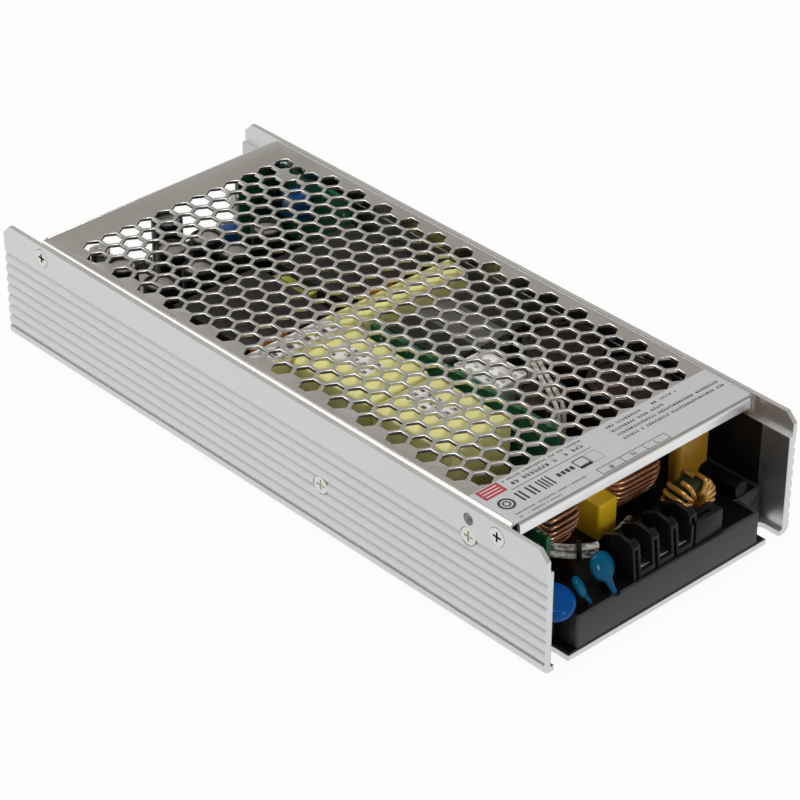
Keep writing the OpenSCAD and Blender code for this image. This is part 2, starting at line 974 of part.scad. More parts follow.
// Turns of wire spread over part of a ring core
module ring_wire(core, wire, turns, from, to) {
  for (i = [0 : turns - 1])
    rotate([0, 0, from + (to - from) * i / (turns - 1)])
      ring_turn(core, wire);
}

module common_choke_core() {
  color([0.20, 0.26, 0.16])
    translate(common_at)
      rotate([90, 0, 0])
        ring_core(common_core);
}

module common_choke_wire() {
  color([0.78, 0.60, 0.22])
    translate(common_at)
      rotate([90, 0, 0]) {
        ring_wire(common_core, yellow_wire, half_turns, half_from, half_to);
        ring_wire(common_core, yellow_wire, half_turns, half_from + 180, half_to + 180);
      }
}

module left_choke_core() {
  color([0.14, 0.14, 0.13])
    translate(left_choke_at)
      rotate([0, 90, 0])
        ring_core(filter_core);
}

module left_choke_wire() {
  color([0.72, 0.45, 0.28])
    translate(left_choke_at)
      rotate([0, 90, 0])
        ring_wire(filter_core, copper_wire, choke_turns, 0, 360 - 360 / choke_turns);
}

module sleeved_leads() {
  color([0.90, 0.90, 0.86])
    for (z = lead_z)
      translate([lead_at[0], lead_at[1], z])
        rotate([0, 0, lead_from])
          rotate_extrude(angle = lead_sweep)
            translate([lead_bend, 0])
              circle(sleeve_r);
}

module right_choke_core() {
  color([0.14, 0.14, 0.13])
    translate(right_choke_at)
      rotate([0, 90, 0])
        ring_core(wide_core);
}

module right_choke_wire() {
  color([0.66, 0.38, 0.25])
    translate(right_choke_at)
      rotate([0, 90, 0])
        ring_wire(wide_core, copper_wire, choke_turns, 0, 360 - 360 / choke_turns);
}

module x_capacitor_front() {
  color([0.82, 0.64, 0.10])
    soft_block(x_front_at, [x_front_w, x_front_l], main_top, x_front_top, soft_r);
}

module x_capacitor_rear() {
  color([0.70, 0.48, 0.12])
    soft_block(x_rear_at, x_rear_size, main_top, x_rear_top, 2 * soft_r);
}

// A lens-shaped disc lying flat
module soft_disc(r, t) {
  rotate_extrude()
    intersection() {
      soft_rect(2 * r, t, t * 0.45);
      translate([0, -t])
        square([r + cut, 2 * t]);
    }
}

module y_capacitors() {
  color([0.10, 0.50, 0.62])
    for (i = [0 : len(disc_spots) - 1]) {
      translate([disc_spots[i][0], disc_spots[i][1], disc_z])
        rotate([0, 0, disc_turns[i][2]])
          rotate([disc_turns[i][0], 0, 0])
            soft_disc(disc_sizes[i], disc_t);
      translate([disc_spots[i][0], disc_spots[i][1], disc_z])
        rotate([0, 0, disc_turns[i][2]])
          for (x = [-1, 1])
            translate([x * disc_r * 0.4, 0, pour_z - disc_z])
              cylinder(r = lead_r, h = disc_z - pour_z);
    }
}

module varistor() {
  color([0.08, 0.35, 0.72]) {
    translate([varistor_at[0], varistor_at[1], varistor_z])
      rotate([0, 0, varistor_turn[2]])
        rotate([varistor_turn[0], 0, 0])
          soft_disc(varistor_r, varistor_t);
    for (y = varistor_leads)
      pillar([varistor_foot_x, varistor_at[1] + y], lead_r, pour_z, varistor_z);
  }
}

module fuse_tube() {
  color([0.10, 0.10, 0.10])
    translate([fuse_at[0], fuse_at[1] - fuse_l / 2 + fuse_cap_t, fuse_z])
      rotate([-90, 0, 0])
        cylinder(r = fuse_r - fuse_cap_t, h = fuse_l - 2 * fuse_cap_t);
}

module fuse_caps() {
  color([0.76, 0.75, 0.72])
    for (y = [-1, 1])
      translate([fuse_at[0], fuse_at[1] + y * (fuse_l - fuse_cap_l) / 2, fuse_z])
        rotate([90, 0, 0])
          difference() {
            cylinder(r = fuse_r, h = fuse_cap_l, center = true);
            translate([0, 0, y * fuse_cap_t])
              cylinder(r = fuse_r - fuse_cap_t, h = fuse_cap_l, center = true);
          }
}

module bridge_rectifier() {
  color([0.12, 0.12, 0.12])
    difference() {
      translate([-lower_x, bridge_y - bridge_size[1] / 2, bridge_low])
        cube(bridge_size);
      cross_pin(1, -lower_x - cut, bridge_y, bridge_z, shank_r + screw_gap, bridge_size[0] + 2 * cut);
    }
}

module input_board() {
  color([0.10, 0.42, 0.25])
    block(input_board_at, [board_t, input_board_l], main_top, input_board_top);
}

module control_board() {
  color([0.08, 0.36, 0.22])
    block(control_at, [board_t, control_l], main_top, control_top);
}

module relay() {
  color([0.86, 0.86, 0.84])
    soft_block(relay_at, relay_size, main_top, relay_top, soft_r);
}

module boost_bobbins() {
  color([0.10, 0.10, 0.10])
    for (y = boost_y)
      block([boost_x, y], [boost_w + 2 * bobbin_over, boost_l], main_top, main_top + bobbin_h);
}

module boost_inductors() {
  color([0.86, 0.85, 0.58])
    for (y = boost_y)
      soft_block([boost_x, y], [boost_w, boost_l - boost_gap], main_top + bobbin_h, tall_z, boost_r);
}

module bulk_cans() {
  color([0.50, 0.48, 0.47])
    for (i = [0 : len(bulk_spots) - 1])
      pillar(bulk_spots[i], bulk_radii[i] - sleeve_t, main_top, bulk_top - rim_d);
}

module bulk_sleeves() {
  color([0.12, 0.10, 0.10])
    for (i = [0 : len(bulk_spots) - 1])
      difference() {
        pillar(bulk_spots[i], bulk_radii[i], main_top, bulk_top);
        pillar(bulk_spots[i], bulk_radii[i] - sleeve_t, main_top - cut, bulk_top - rim_d);
        pillar(bulk_spots[i], bulk_radii[i] - sleeve_t - rim_w, bulk_top - 2 * rim_d, bulk_top + cut);
      }
}

module resonant_core() {
  color([0.22, 0.22, 0.23])
    difference() {
      block(resonant_at, resonant_size, main_top, resonant_top);
      difference() {
        block(resonant_at, [tape_w, resonant_size[1] + cut], pour_z, resonant_top + cut);
        block(resonant_at, [tape_w + cut, resonant_size[1] - 2 * tape_t], pour_z - cut, resonant_top - tape_t);
      }
    }
}

module resonant_tape() {
  color([0.30, 0.30, 0.31])
    difference() {
      block(resonant_at, [tape_w, resonant_size[1]], pour_z, resonant_top);
      block(resonant_at, [tape_w + cut, resonant_size[1] - 2 * tape_t], pour_z - cut, resonant_top - tape_t);
    }
}

module isolation_bar() {
  color([0.86, 0.84, 0.58])
    soft_block(bar_at, [bar_w, bar_l], main_top, bar_top, soft_r);
}

module transformer_cores() {
  color([0.20, 0.20, 0.21])
    for (x = core_x)
      difference() {
        block([x, core_y], [core_w, core_l], main_top, core_top);
        block([x, core_y + window_in], [core_w + cut, window_l], window_z, window_z + window_h);
        block([x, core_y], [foil_w + lean, core_l + cut], foil_z - lean, foil_z + foil_t + lean);
      }
}

module transformer_tape() {
  color([0.72, 0.74, 0.28])
    for (x = core_x)
      block([x, core_y + window_in], [core_w + 2 * wind_over, window_l - 2 * wind_gap], window_z, window_z + window_h - wind_gap);
}

module transformer_foils() {
  color([0.72, 0.42, 0.22])
    for (x = core_x)
      translate([x - foil_w / 2, core_y - core_l / 2 - foil_out, foil_z])
        cube([foil_w, core_l / 2, foil_t]);
}

module output_cans() {
  color([0.72, 0.71, 0.70])
    for (spot = out_spots)
      pillar(spot, out_r - sleeve_t, main_top, out_top - rim_d);
}

module output_sleeves() {
  color([0.12, 0.12, 0.13])
    for (spot = out_spots)
      difference() {
        pillar(spot, out_r, main_top, out_top);
        pillar(spot, out_r - sleeve_t, main_top - cut, out_top - rim_d);
        pillar(spot, out_r - sleeve_t - out_rim_w, out_top - 2 * rim_d, out_top + cut);
      }
}

module film_capacitor() {
  color([0.10, 0.36, 0.66])
    soft_block(film_at, film_size, main_top, film_top, soft_r);
}

module output_board() {
  color([0.10, 0.34, 0.22])
    block([output_board_x, output_board_y], [board_t, output_board_l], main_top, output_board_top);
}

trimmer_x = output_board_x - board_t / 2 - trimmer_size[0] / 2;

module trimmer() {
  color([0.10, 0.36, 0.70])
    difference() {
      block([trimmer_x, access_at[1]], trimmer_size, trimmer_top - trimmer_h, trimmer_top);
      block([trimmer_x, access_at[1]], [trimmer_size[0] * 0.6, slot_d], trimmer_top - slot_d, trimmer_top + cut);
    }
}

module signal_board() {
  color([0.10, 0.38, 0.24])
    block(signal_at, [signal_w, board_t], main_top, signal_top);
}

module signal_header() {
  y = signal_at[1] + board_t / 2;
  color([0.90, 0.89, 0.84])
    translate([signal_at[0] - header_size[0] / 2, y, header_z]) {
      difference() {
        cube(header_size);
        translate([header_wall, header_back, header_wall])
          cube([header_size[0] - 2 * header_wall, header_size[1], header_size[2] - 2 * header_wall]);
      }
    }
}

module indicator() {
  color([0.30, 0.80, 0.30])
    translate([signal_at[0] + indicator_in, signal_at[1] + board_t / 2, indicator_z]) {
      rotate([-90, 0, 0])
        cylinder(r = indicator_r, h = indicator_l);
      translate([0, indicator_l, 0])
        sphere(indicator_r);
    }
}

module output_base() {
  color([0.09, 0.09, 0.09])
    difference() {
      union() {
        translate([base_x - base_w / 2, tray_rear + lean, floor_t])
          cube([base_w, rear - tray_rear - 2 * lean, base_top - floor_t]);
        translate([base_x - divider_t / 2, tray_rear + lean, floor_t])
          cube([divider_t, rear - tray_rear - 2 * lean, base_top + bus_t + divider_h - floor_t]);
      }
      for (x = bus_x)
        pillar([x, bus_rear - bus_screw_in], bus_hole_r, base_top - bus_deep, base_top + cut);
    }
}

module output_bars() {
  color([0.80, 0.78, 0.74])
    for (x = bus_x)
      difference() {
        union() {
          translate([x - bus_w / 2, bus_rear - bus_l, base_top])
            cube([bus_w, bus_l, bus_t]);
          translate([x - bus_w / 2, bus_rear - bus_l, pour_z])
            cube([bus_w, bus_t, base_top + bus_t - pour_z]);
        }
        pillar([x, bus_rear - bus_screw_in], bus_hole_r, base_top - cut, base_top + bus_t + cut);
      }
}

module output_screws() {
  z = base_top + bus_t;
  color([0.78, 0.78, 0.76])
    for (x = bus_x)
      difference() {
        union() {
          pillar([x, bus_rear - bus_screw_in], bus_head_r, z, z + washer_t);
          pillar([x, bus_rear - bus_screw_in], bus_head_r * 0.85, z + washer_t, z + washer_t + bus_head_h);
          pillar([x, bus_rear - bus_screw_in], bus_shank_r, z - bus_deep, z + washer_t);
        }
        for (turn = [0, 90])
          translate([x, bus_rear - bus_screw_in, z + washer_t + bus_head_h])
            rotate([0, 0, turn])
              cube([bus_head_r, socket_w, 3 * socket_d], center = true);
      }
}

// Transistor bodies against one wall
module devices(side, spots) {
  for (y = spots)
    translate([side > 0 ? lower_x - device_size[0] : -lower_x, y - device_size[1] / 2, device_low])
      cube(device_size);
}

// The bar that presses the transistors against one wall
module clamp(side, spots, screw_y) {
  low = wall_screw_z - clamp_bar[1] / 2;
  first = min(spots) - device_size[1] / 2;
  last = max(spots) + device_size[1] / 2;
  x = lower_x - device_size[0];
  difference() {
    translate([side > 0 ? x - clamp_bar[0] : -x, first, low])
      cube([clamp_bar[0], last - first, clamp_bar[1]]);
    cross_pin(-side, side * (x + cut), screw_y, wall_screw_z, shank_r + screw_gap, clamp_bar[0] + 2 * cut);
  }
}

module left_transistors() {
  color([0.13, 0.13, 0.13])
    devices(-1, left_device_y);
}

module left_clamp() {
  color([0.62, 0.62, 0.62])
    clamp(-1, left_device_y, left_screw_y);
}

module right_transistors() {
  color([0.13, 0.13, 0.13])
    devices(1, right_device_y);
}

module right_clamp() {
  color([0.62, 0.62, 0.62])
    clamp(1, right_device_y, right_screw_y);
}

case_extrusion();
top_cover();
cover_screws();
wall_screws();
bridge_screw();
bridge_nut();
wall_film();
base_film();
potting_tray();
tray_nose();
main_board();
potting();
potting_nose();
input_block();
input_screws();
input_clamps();
common_choke_core();
common_choke_wire();
left_choke_core();
left_choke_wire();
sleeved_leads();
right_choke_core();
right_choke_wire();
x_capacitor_front();
x_capacitor_rear();
y_capacitors();
varistor();
fuse_tube();
fuse_caps();
bridge_rectifier();
input_board();
relay();
control_board();
boost_inductors();
boost_bobbins();
bulk_cans();
bulk_sleeves();
resonant_core();
resonant_tape();
isolation_bar();
transformer_cores();
transformer_tape();
transformer_foils();
output_cans();
output_sleeves();
film_capacitor();
trimmer();
output_board();
signal_board();
signal_header();
indicator();
output_base();
output_bars();
output_screws();
left_transistors();
left_clamp();
right_transistors();
right_clamp();
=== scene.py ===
"""Looks of an enclosed switching power supply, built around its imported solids.

Metres, in the frame of the solids: X across, Y along the case with the mains end at -Y, Z up.
"""

import json
import logging
import math
from dataclasses import dataclass, field
from enum import Enum
from typing import Any, Optional, Sequence, Union

import bmesh
import bpy
from mathutils import Matrix, Vector

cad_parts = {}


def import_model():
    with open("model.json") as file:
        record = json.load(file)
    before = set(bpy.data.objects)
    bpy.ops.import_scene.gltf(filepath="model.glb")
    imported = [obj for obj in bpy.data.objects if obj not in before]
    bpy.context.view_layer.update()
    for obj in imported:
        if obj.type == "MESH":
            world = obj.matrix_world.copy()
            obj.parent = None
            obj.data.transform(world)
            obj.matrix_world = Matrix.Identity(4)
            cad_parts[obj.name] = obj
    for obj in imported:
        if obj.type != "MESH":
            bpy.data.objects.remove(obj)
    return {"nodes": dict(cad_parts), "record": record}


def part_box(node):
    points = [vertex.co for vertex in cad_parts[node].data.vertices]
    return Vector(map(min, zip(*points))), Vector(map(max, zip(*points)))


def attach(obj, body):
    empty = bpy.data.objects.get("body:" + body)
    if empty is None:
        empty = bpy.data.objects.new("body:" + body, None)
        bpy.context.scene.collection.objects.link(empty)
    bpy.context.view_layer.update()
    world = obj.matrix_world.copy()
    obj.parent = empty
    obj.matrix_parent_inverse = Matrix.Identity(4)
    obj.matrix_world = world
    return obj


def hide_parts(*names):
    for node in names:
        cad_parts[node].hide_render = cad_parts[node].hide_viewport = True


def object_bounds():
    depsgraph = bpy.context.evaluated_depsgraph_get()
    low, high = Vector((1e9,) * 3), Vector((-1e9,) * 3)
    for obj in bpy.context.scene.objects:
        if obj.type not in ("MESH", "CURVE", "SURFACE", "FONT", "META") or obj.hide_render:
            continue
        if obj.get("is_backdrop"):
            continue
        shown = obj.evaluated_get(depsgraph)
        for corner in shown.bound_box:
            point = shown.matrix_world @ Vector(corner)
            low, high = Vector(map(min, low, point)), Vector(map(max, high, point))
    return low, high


LOG = logging.getLogger("power_supply")
BODY = "root"
MM = 0.001
MERGE = 1e-6
NEAR = 1e-5
FLAT = math.radians(0.5)
SHARP = math.radians(35)
FULL_TURN = 2 * math.pi
Number = Union[int, float]
Pair = tuple[float, float]
Triple = tuple[float, float, float]
Quad = tuple[float, float, float, float]
Colour = Triple
Mesh = bpy.types.Mesh
Work = bmesh.types.BMesh


class Value:
    """A socket that takes part in sums."""

    def __init__(self, graph: "Graph", socket: bpy.types.NodeSocket) -> None:
        """Keeps the socket and the graph that it belongs to."""
        self.graph = graph
        self.socket = socket

    def other(self, name: Union[str, int]) -> "Value":
        """Another output of the same node."""
        return Value(self.graph, self.socket.node.outputs[name])

    def math(self, operation: str, *others: Any) -> "Value":
        """A Math node with this value first.

        Args:
            operation: The Math node's operation.
            others: Its second and third value, where it has them.

        Returns:
            The result.
        """
        inputs = dict(enumerate((self, *others)))
        return self.graph.node("ShaderNodeMath", {"operation": operation}, inputs)

    def __add__(self, other: Any) -> "Value":
        """Sum."""
        return self.math("ADD", other)

    __radd__ = __add__

    def __sub__(self, other: Any) -> "Value":
        """Difference."""
        return self.math("SUBTRACT", other)

    def __rsub__(self, other: Number) -> "Value":
        """A number less this value."""
        return self.graph.node("ShaderNodeMath", {"operation": "SUBTRACT"}, {0: other, 1: self})

    def __mul__(self, other: Any) -> "Value":
        """Product."""
        return self.math("MULTIPLY", other)

    __rmul__ = __mul__

    def __truediv__(self, other: Any) -> "Value":
        """Quotient."""
        return self.math("DIVIDE", other)

    def __pow__(self, other: Any) -> "Value":
        """Power."""
        return self.math("POWER", other)

    def __gt__(self, other: Any) -> "Value":
        """One where this value is larger."""
        return self.math("GREATER_THAN", other)

    def __lt__(self, other: Any) -> "Value":
        """One where this value is smaller."""
        return self.math("LESS_THAN", other)


class Graph:
    """A node tree that is filled by expressions."""

    def __init__(self, tree: bpy.types.NodeTree) -> None:
        """Keeps the tree."""
        self.tree = tree

    def node(self, kind: str, settings: Optional[dict] = None, inputs: Optional[dict] = None,
             out: Union[str, int] = 0) -> Value:
        """Adds any node.

        Args:
            kind: The node's type.
            settings: Its own properties, which are set first. A ramp's stops go under "stops".
            inputs: Values or links of its sockets, by name or number.
            out: The output that is returned.

        Returns:
            That output.
        """
        made = self.tree.nodes.new(kind)
        for key, value in (settings or {}).items():
            if key == "stops":
                self._stops(made.color_ramp, value)
            else:
                setattr(made, key, value)
        for key, value in (inputs or {}).items():
            self.feed(made.inputs[key], value)
        return Value(self, made.outputs[out])

    def feed(self, socket: bpy.types.NodeSocket, value: Any) -> None:
        """Links one or several values to a socket, or sets the socket.

        Args:
            socket: The socket that is fed.
            value: A number, a colour, a value or a list of values.
        """
        if isinstance(value, Value):
            self.tree.links.new(value.socket, socket)
        elif isinstance(value, list):
            for part in value:
                self.tree.links.new(part.socket, socket)
        elif isinstance(value, tuple) and len(value) == 3 and socket.type == "RGBA":
            socket.default_value = (*value, 1.0)
        else:
            socket.default_value = value

    @staticmethod
    def _stops(ramp: bpy.types.ColorRamp, stops: Sequence[tuple[float, Colour]]) -> None:
        """Sets a colour ramp's stops.

        Args:
            ramp: The colour ramp.
            stops: Each stop's place and colour.
        """
        while len(ramp.elements) < len(stops):
            ramp.elements.new(1.0)
        for element, (place, colour) in zip(ramp.elements, stops):
            element.position = place
            element.color = (*colour, 1.0)

    def place(self, scale: Sequence[float] = (1, 1, 1)) -> Value:
        """Object coordinates, stretched by a scale in each direction."""
        here = self.node("ShaderNodeTexCoord", out="Object")
        return self.node("ShaderNodeMapping", inputs={"Vector": here, "Scale": tuple(scale)})

    def noise(self, scale: float, detail: float = 3.0,
              stretch: Sequence[float] = (1, 1, 1)) -> Value:
        """Noise from 0 to 1 on Object coordinates.

        Args:
            scale: Waves per metre.
            detail: Octaves.
            stretch: Share of the scale along X, Y and Z.

        Returns:
            The noise.
        """
        inputs = {"Vector": self.place(stretch), "Scale": scale, "Detail": detail, "Roughness": 0.55}
        return self.node("ShaderNodeTexNoise", inputs=inputs)

    def cells(self, scale: float, feature: str = "F1") -> Value:
        """Distance in a pattern of cells on Object coordinates."""
        inputs = {"Vector": self.place(), "Scale": scale}
        return self.node("ShaderNodeTexVoronoi", {"feature": feature}, inputs, out="Distance")

    def bands(self, scale: float, distortion: float, stretch: Sequence[float] = (1, 1, 1)) -> Value:
        """Slanted bands from 0 to 1 on Object coordinates.

        Args:
            scale: Scale of the bands.
            distortion: How far the bands waver.
            stretch: Share of the scale along X, Y and Z.

        Returns:
            The bands.
        """
        settings = {"wave_type": "BANDS", "bands_direction": "DIAGONAL"}
        inputs = {"Vector": self.place(stretch), "Scale": scale, "Distortion": distortion, "Detail": 2.0}
        return self.node("ShaderNodeTexWave", settings, inputs, out=1)

    def blend(self, share: Any, first: Any, second: Any) -> Value:
        """A colour between two colours."""
        return self.node("ShaderNodeMix", {"data_type": "RGBA"}, {0: share, 6: first, 7: second}, out=2)

    def bump(self, height: Any, depth: float, strength: float) -> Value:
        """A normal that is bent by a height."""
        inputs = {"Height": height, "Distance": depth, "Strength": strength}
        return self.node("ShaderNodeBump", inputs=inputs)


def shade(colour: Colour, factor: float) -> Colour:
    """A colour made lighter or darker."""
    return tuple(min(1.0, c * factor) for c in colour)


def new_material(name: str) -> tuple[bpy.types.Material, Graph, bpy.types.Node]:
    """An empty material with its graph and its main shader.

    Args:
        name: The material's name.

    Returns:
        The material, its graph and its main shader.
    """
    material = bpy.data.materials.new(name)
    material.use_nodes = True
    main = material.node_tree.nodes["Principled BSDF"]
    return material, Graph(material.node_tree), main


@dataclass(frozen=True)
class Finish:
    """A surface finish. Its material is made once."""

    name: str
    colour: Colour
    roughness: float = 0.5

    def material(self) -> bpy.types.Material:
        """The finish's material.

        Returns:
            The material, made at the first call.
        """
        title = "look_" + self.name
        found = bpy.data.materials.get(title)
        if found:
            return found
        made, graph, main = new_material(title)
        self.fill(graph, main)
        return made

    def fill(self, graph: Graph, main: bpy.types.Node) -> None:
        """Fills the material's nodes."""
        raise NotImplementedError

    def span(self, graph: Graph, share: Value, low: float, high: float) -> Value:
        """The finish's colour, between a darker and a lighter shade of it."""
        return graph.blend(share, shade(self.colour, low), shade(self.colour, high))

    @staticmethod
    def dress(graph: Graph, main: bpy.types.Node, colour: Value, rough: Value, normal: Value,
              **fixed: float) -> None:
        """Feeds the main shader.

        Args:
            graph: The material's graph.
            main: Its main shader.
            colour: The base colour.
            rough: The roughness.
            normal: The bent normal.
            fixed: Values of other sockets, by name with _ for a space.
        """
        for key, value in (("Base Color", colour), ("Roughness", rough), ("Normal", normal)):
            graph.feed(main.inputs[key], value)
        for key, value in fixed.items():
            main.inputs[key.replace("_", " ")].default_value = value


@dataclass(frozen=True)
class Metal(Finish):
    """Rolled or drawn metal with grain along one direction and soft clouds of tone."""

    grain: Triple = (1.0, 0.02, 1.0)
    grain_scale: float = 2600.0
    depth: float = 0.00002
    cloud: float = 0.06
    cloud_scale: float = 45.0
    metallic: float = 1.0
    streak: float = 1.0
    grain_rough: float = 0.16
    cloud_rough: float = 0.08
    bump: float = 0.35

    def fill(self, graph: Graph, main: bpy.types.Node) -> None:
        """Grain in colour, roughness and height.

        Args:
            graph: The material's graph.
            main: Its main shader.
        """
        grain = graph.noise(self.grain_scale, 2.0, self.grain)
        cloud = graph.noise(self.cloud_scale)
        colour = self.span(graph, grain * 0.5 + cloud * 0.5, 1 - self.cloud, 1 + self.cloud)
        uneven = self.grain_rough * self.streak
        least = self.roughness - uneven / 2 - self.cloud_rough / 2
        rough = grain * uneven + cloud * self.cloud_rough + least
        normal = graph.bump(grain, self.depth * self.streak, self.bump)
        self.dress(graph, main, colour, rough, normal, Metallic=self.metallic)


@dataclass(frozen=True)
class Extrusion(Metal):
    """Satin metal that is smoother inside the channel, below its ledges, and darkened there by painted shade.
    """

    inner_half: float = 0.0475
    inner_z: Pair = (0.002, 0.0332)
    inner_painted_shade: float = 0.8
    inner_roughness: float = 0.32

    def fill(self, graph: Graph, main: bpy.types.Node) -> None:
        """The metal's own look, made smoother inside and darkened there by painted shade.

        Args:
            graph: The material's graph.
            main: Its main shader.
        """
        super().fill(graph, main)
        x = graph.node("ShaderNodeSeparateXYZ", inputs={0: graph.place()}, out=0)
        z = x.other(2)
        inside = (x.math("ABSOLUTE") < self.inner_half) * (z > self.inner_z[0]) * (z < self.inner_z[1])
        colour, rough = (Value(graph, main.inputs[key].links[0].from_socket)
                         for key in ("Base Color", "Roughness"))
        # painted shade: the channel's inner faces get a darker copy of the colour, as if unlit
        inner = graph.blend(inside, colour, shade(self.colour, self.inner_painted_shade))
        graph.feed(main.inputs["Base Color"], inner)
        graph.feed(main.inputs["Roughness"], rough - inside * (self.roughness - self.inner_roughness))


@dataclass(frozen=True)
class Moulded(Finish):
    """Moulded plastic with a fine texture, faint flow marks and dust."""

    texture: float = 2200.0
    flow_scale: float = 120.0
    depth: float = 0.00003
    tone: float = 0.12
    coat: float = 0.0
    coat_roughness: float = 0.06
    dust: float = 0.0
    dust_colour: Colour = (0.5, 0.49, 0.46)
    dust_scale: float = 900.0
    dust_size: float = 0.12
    sheen: float = 0.3
    fine_rough: float = 0.14
    flow_rough: float = 0.1
    bump: float = 0.4

    def fill(self, graph: Graph, main: bpy.types.Node) -> None:
        """Texture, tone and dust.

        Args:
            graph: The material's graph.
            main: Its main shader.
        """
        fine = graph.noise(self.texture, 2.0)
        flow = graph.noise(self.flow_scale, 4.0)
        colour = self.span(graph, flow, 1 - self.tone, 1 + self.tone)
        if self.dust:
            specks = graph.cells(self.dust_scale) < self.dust_size
            colour = graph.blend(specks * self.dust, colour, self.dust_colour)
        least = self.roughness - (self.fine_rough + self.flow_rough) / 2
        rough = fine * self.fine_rough + flow * self.flow_rough + least
        self.dress(graph, main, colour, rough, graph.bump(fine, self.depth, self.bump),
                   Specular_IOR_Level=self.sheen, Coat_Weight=self.coat,
                   Coat_Roughness=self.coat_roughness)


@dataclass(frozen=True)
class Enamel(Finish):
    """Enamelled wire: a clear coloured skin over bright metal, darker where the skin is thick."""

    deep: Colour = (0.2, 0.08, 0.03)
    metallic: float = 0.75
    coat: float = 0.5
    coat_roughness: float = 0.12
    along_scale: float = 170.0
    scratch_scale: float = 1900.0
    scratch_rough: float = 0.16
    thick_share: float = 0.3
    contrast: float = 1.6

    def fill(self, graph: Graph, main: bpy.types.Node) -> None:
        """Colour that changes along the wire, and scratches.

        Args:
            graph: The material's graph.
            main: Its main shader.
        """
        along = graph.noise(self.along_scale)
        scratch = graph.noise(self.scratch_scale, 2.0)
        share = ((along - self.thick_share) * self.contrast).math("MINIMUM", 1.0)
        rough = scratch * self.scratch_rough + (self.roughness - self.scratch_rough / 2)
        self.dress(graph, main, graph.blend(share, self.deep, self.colour), rough,
                   graph.bump(scratch, 0.00002, 0.3), Metallic=self.metallic,
                   Coat_Weight=self.coat, Coat_Roughness=self.coat_roughness)


@dataclass(frozen=True)
class Braid(Finish):
    """Woven glass sleeving: pale, with slanted dark threads and near-black patches at random."""

    thread: float = 310.0
    dark_patch: Colour = (0.045, 0.042, 0.036)
    patch_scale: float = 420.0
    dark_patch_share: float = 0.37
    contrast: float = 3.6
    thread_share: float = 0.35

    def fill(self, graph: Graph, main: bpy.types.Node) -> None:
        """Threads, near-black patches and a dull weave.

        Args:
            graph: The material's graph.
            main: Its main shader.
        """
        weave = graph.bands(self.thread, 3.0)
        patch = graph.noise(self.patch_scale)
        # near-black where the noise is low, and along the slanted dark threads
        share = (patch - self.dark_patch_share) * self.contrast + weave * self.thread_share
        clean = share.math("MINIMUM", 1.0).math("MAXIMUM", 0.0)
        self.dress(graph, main, graph.blend(clean, self.dark_patch, self.colour),
                   patch * 0.2 + self.roughness, graph.bump(weave, 0.0001, 0.6))


@dataclass(frozen=True)
class Tape(Finish):
    """Wound polyester tape: layer edges, wrinkles and a glossy skin."""

    layer: float = 0.0011
    along: Triple = (0.0, 0.0, 1.0)
    edge: float = 0.16
    coat: float = 0.35
    coat_roughness: float = 0.2

    def fill(self, graph: Graph, main: bpy.types.Node) -> None:
        """Layer lines, wrinkles and tone.

        Args:
            graph: The material's graph.
            main: Its main shader.
        """
        wrinkle = graph.noise(190.0, 4.0)
        lines = graph.bands(0.5 / self.layer, 1.4, self.along)
        tone = wrinkle * (1 - self.edge) + lines * self.edge
        rough = wrinkle * 0.22 + (self.roughness - 0.1)
        self.dress(graph, main, self.span(graph, tone, 0.8, 1.12), rough,
                   graph.bump(tone, 0.00012, 0.35), Coat_Weight=self.coat,
                   Coat_Roughness=self.coat_roughness)


@dataclass(frozen=True)
class Ferrite(Finish):
    """Fired ferrite: dull grey with bright grains and chipped tone."""

    sheen: float = 0.22

    def fill(self, graph: Graph, main: bpy.types.Node) -> None:
        """Grains and clouds.

        Args:
            graph: The material's graph.
            main: Its main shader.
        """
        grain = graph.cells(2100.0)
        cloud = graph.noise(160.0, 4.0)
        colour = self.span(graph, cloud * 0.6 + grain * 0.5, 0.7, 1.35)
        rough = cloud * 0.2 + (self.roughness - 0.1)
        self.dress(graph, main, colour, rough, graph.bump(grain, 0.00004, 0.4),
                   Specular_IOR_Level=self.sheen)


@dataclass(frozen=True)
class Board(Finish):
    """Solder-masked board with tracks under the mask and tinned pads."""

    track: Colour = (0.07, 0.33, 0.17)
    track_scale: float = 210.0
    track_width: float = 0.09
    pad: Colour = (0.62, 0.60, 0.54)
    pad_scale: float = 260.0
    pad_size: float = 0.17
    pad_metallic: float = 0.8

    def fill(self, graph: Graph, main: bpy.types.Node) -> None:
        """Tracks, pads and a glossy mask.

        Args:
            graph: The material's graph.
            main: Its main shader.
        """
        tracks = graph.cells(self.track_scale, "DISTANCE_TO_EDGE") < self.track_width
        pads = graph.cells(self.pad_scale) < self.pad_size
        mask = graph.blend(tracks, self.colour, self.track)
        rough = pads * 0.12 + graph.noise(900.0) * 0.12 + (self.roughness - 0.06)
        self.dress(graph, main, graph.blend(pads, mask, self.pad), rough,
                   graph.bump(tracks + pads, 0.00003, 0.5))
        graph.feed(main.inputs["Metallic"], pads * self.pad_metallic)


@dataclass(frozen=True)
class Resin(Finish):
    """Poured resin: near-black, glossy, with slow waves and a few specks."""

    speck: Colour = (0.22, 0.22, 0.22)
    speck_scale: float = 480.0
    speck_size: float = 0.06
    speck_share: float = 0.35
    sheen: float = 0.16

    def fill(self, graph: Graph, main: bpy.types.Node) -> None:
        """Waves and specks.

        Args:
            graph: The material's graph.
            main: Its main shader.
        """
        wave = graph.noise(70.0, 2.0)
        specks = (graph.cells(self.speck_scale) < self.speck_size) * self.speck_share
        rough = wave * 0.18 + (self.roughness - 0.06)
        self.dress(graph, main, graph.blend(specks, self.colour, self.speck), rough,
                   graph.bump(wave, 0.0008, 0.25), Specular_IOR_Level=self.sheen)


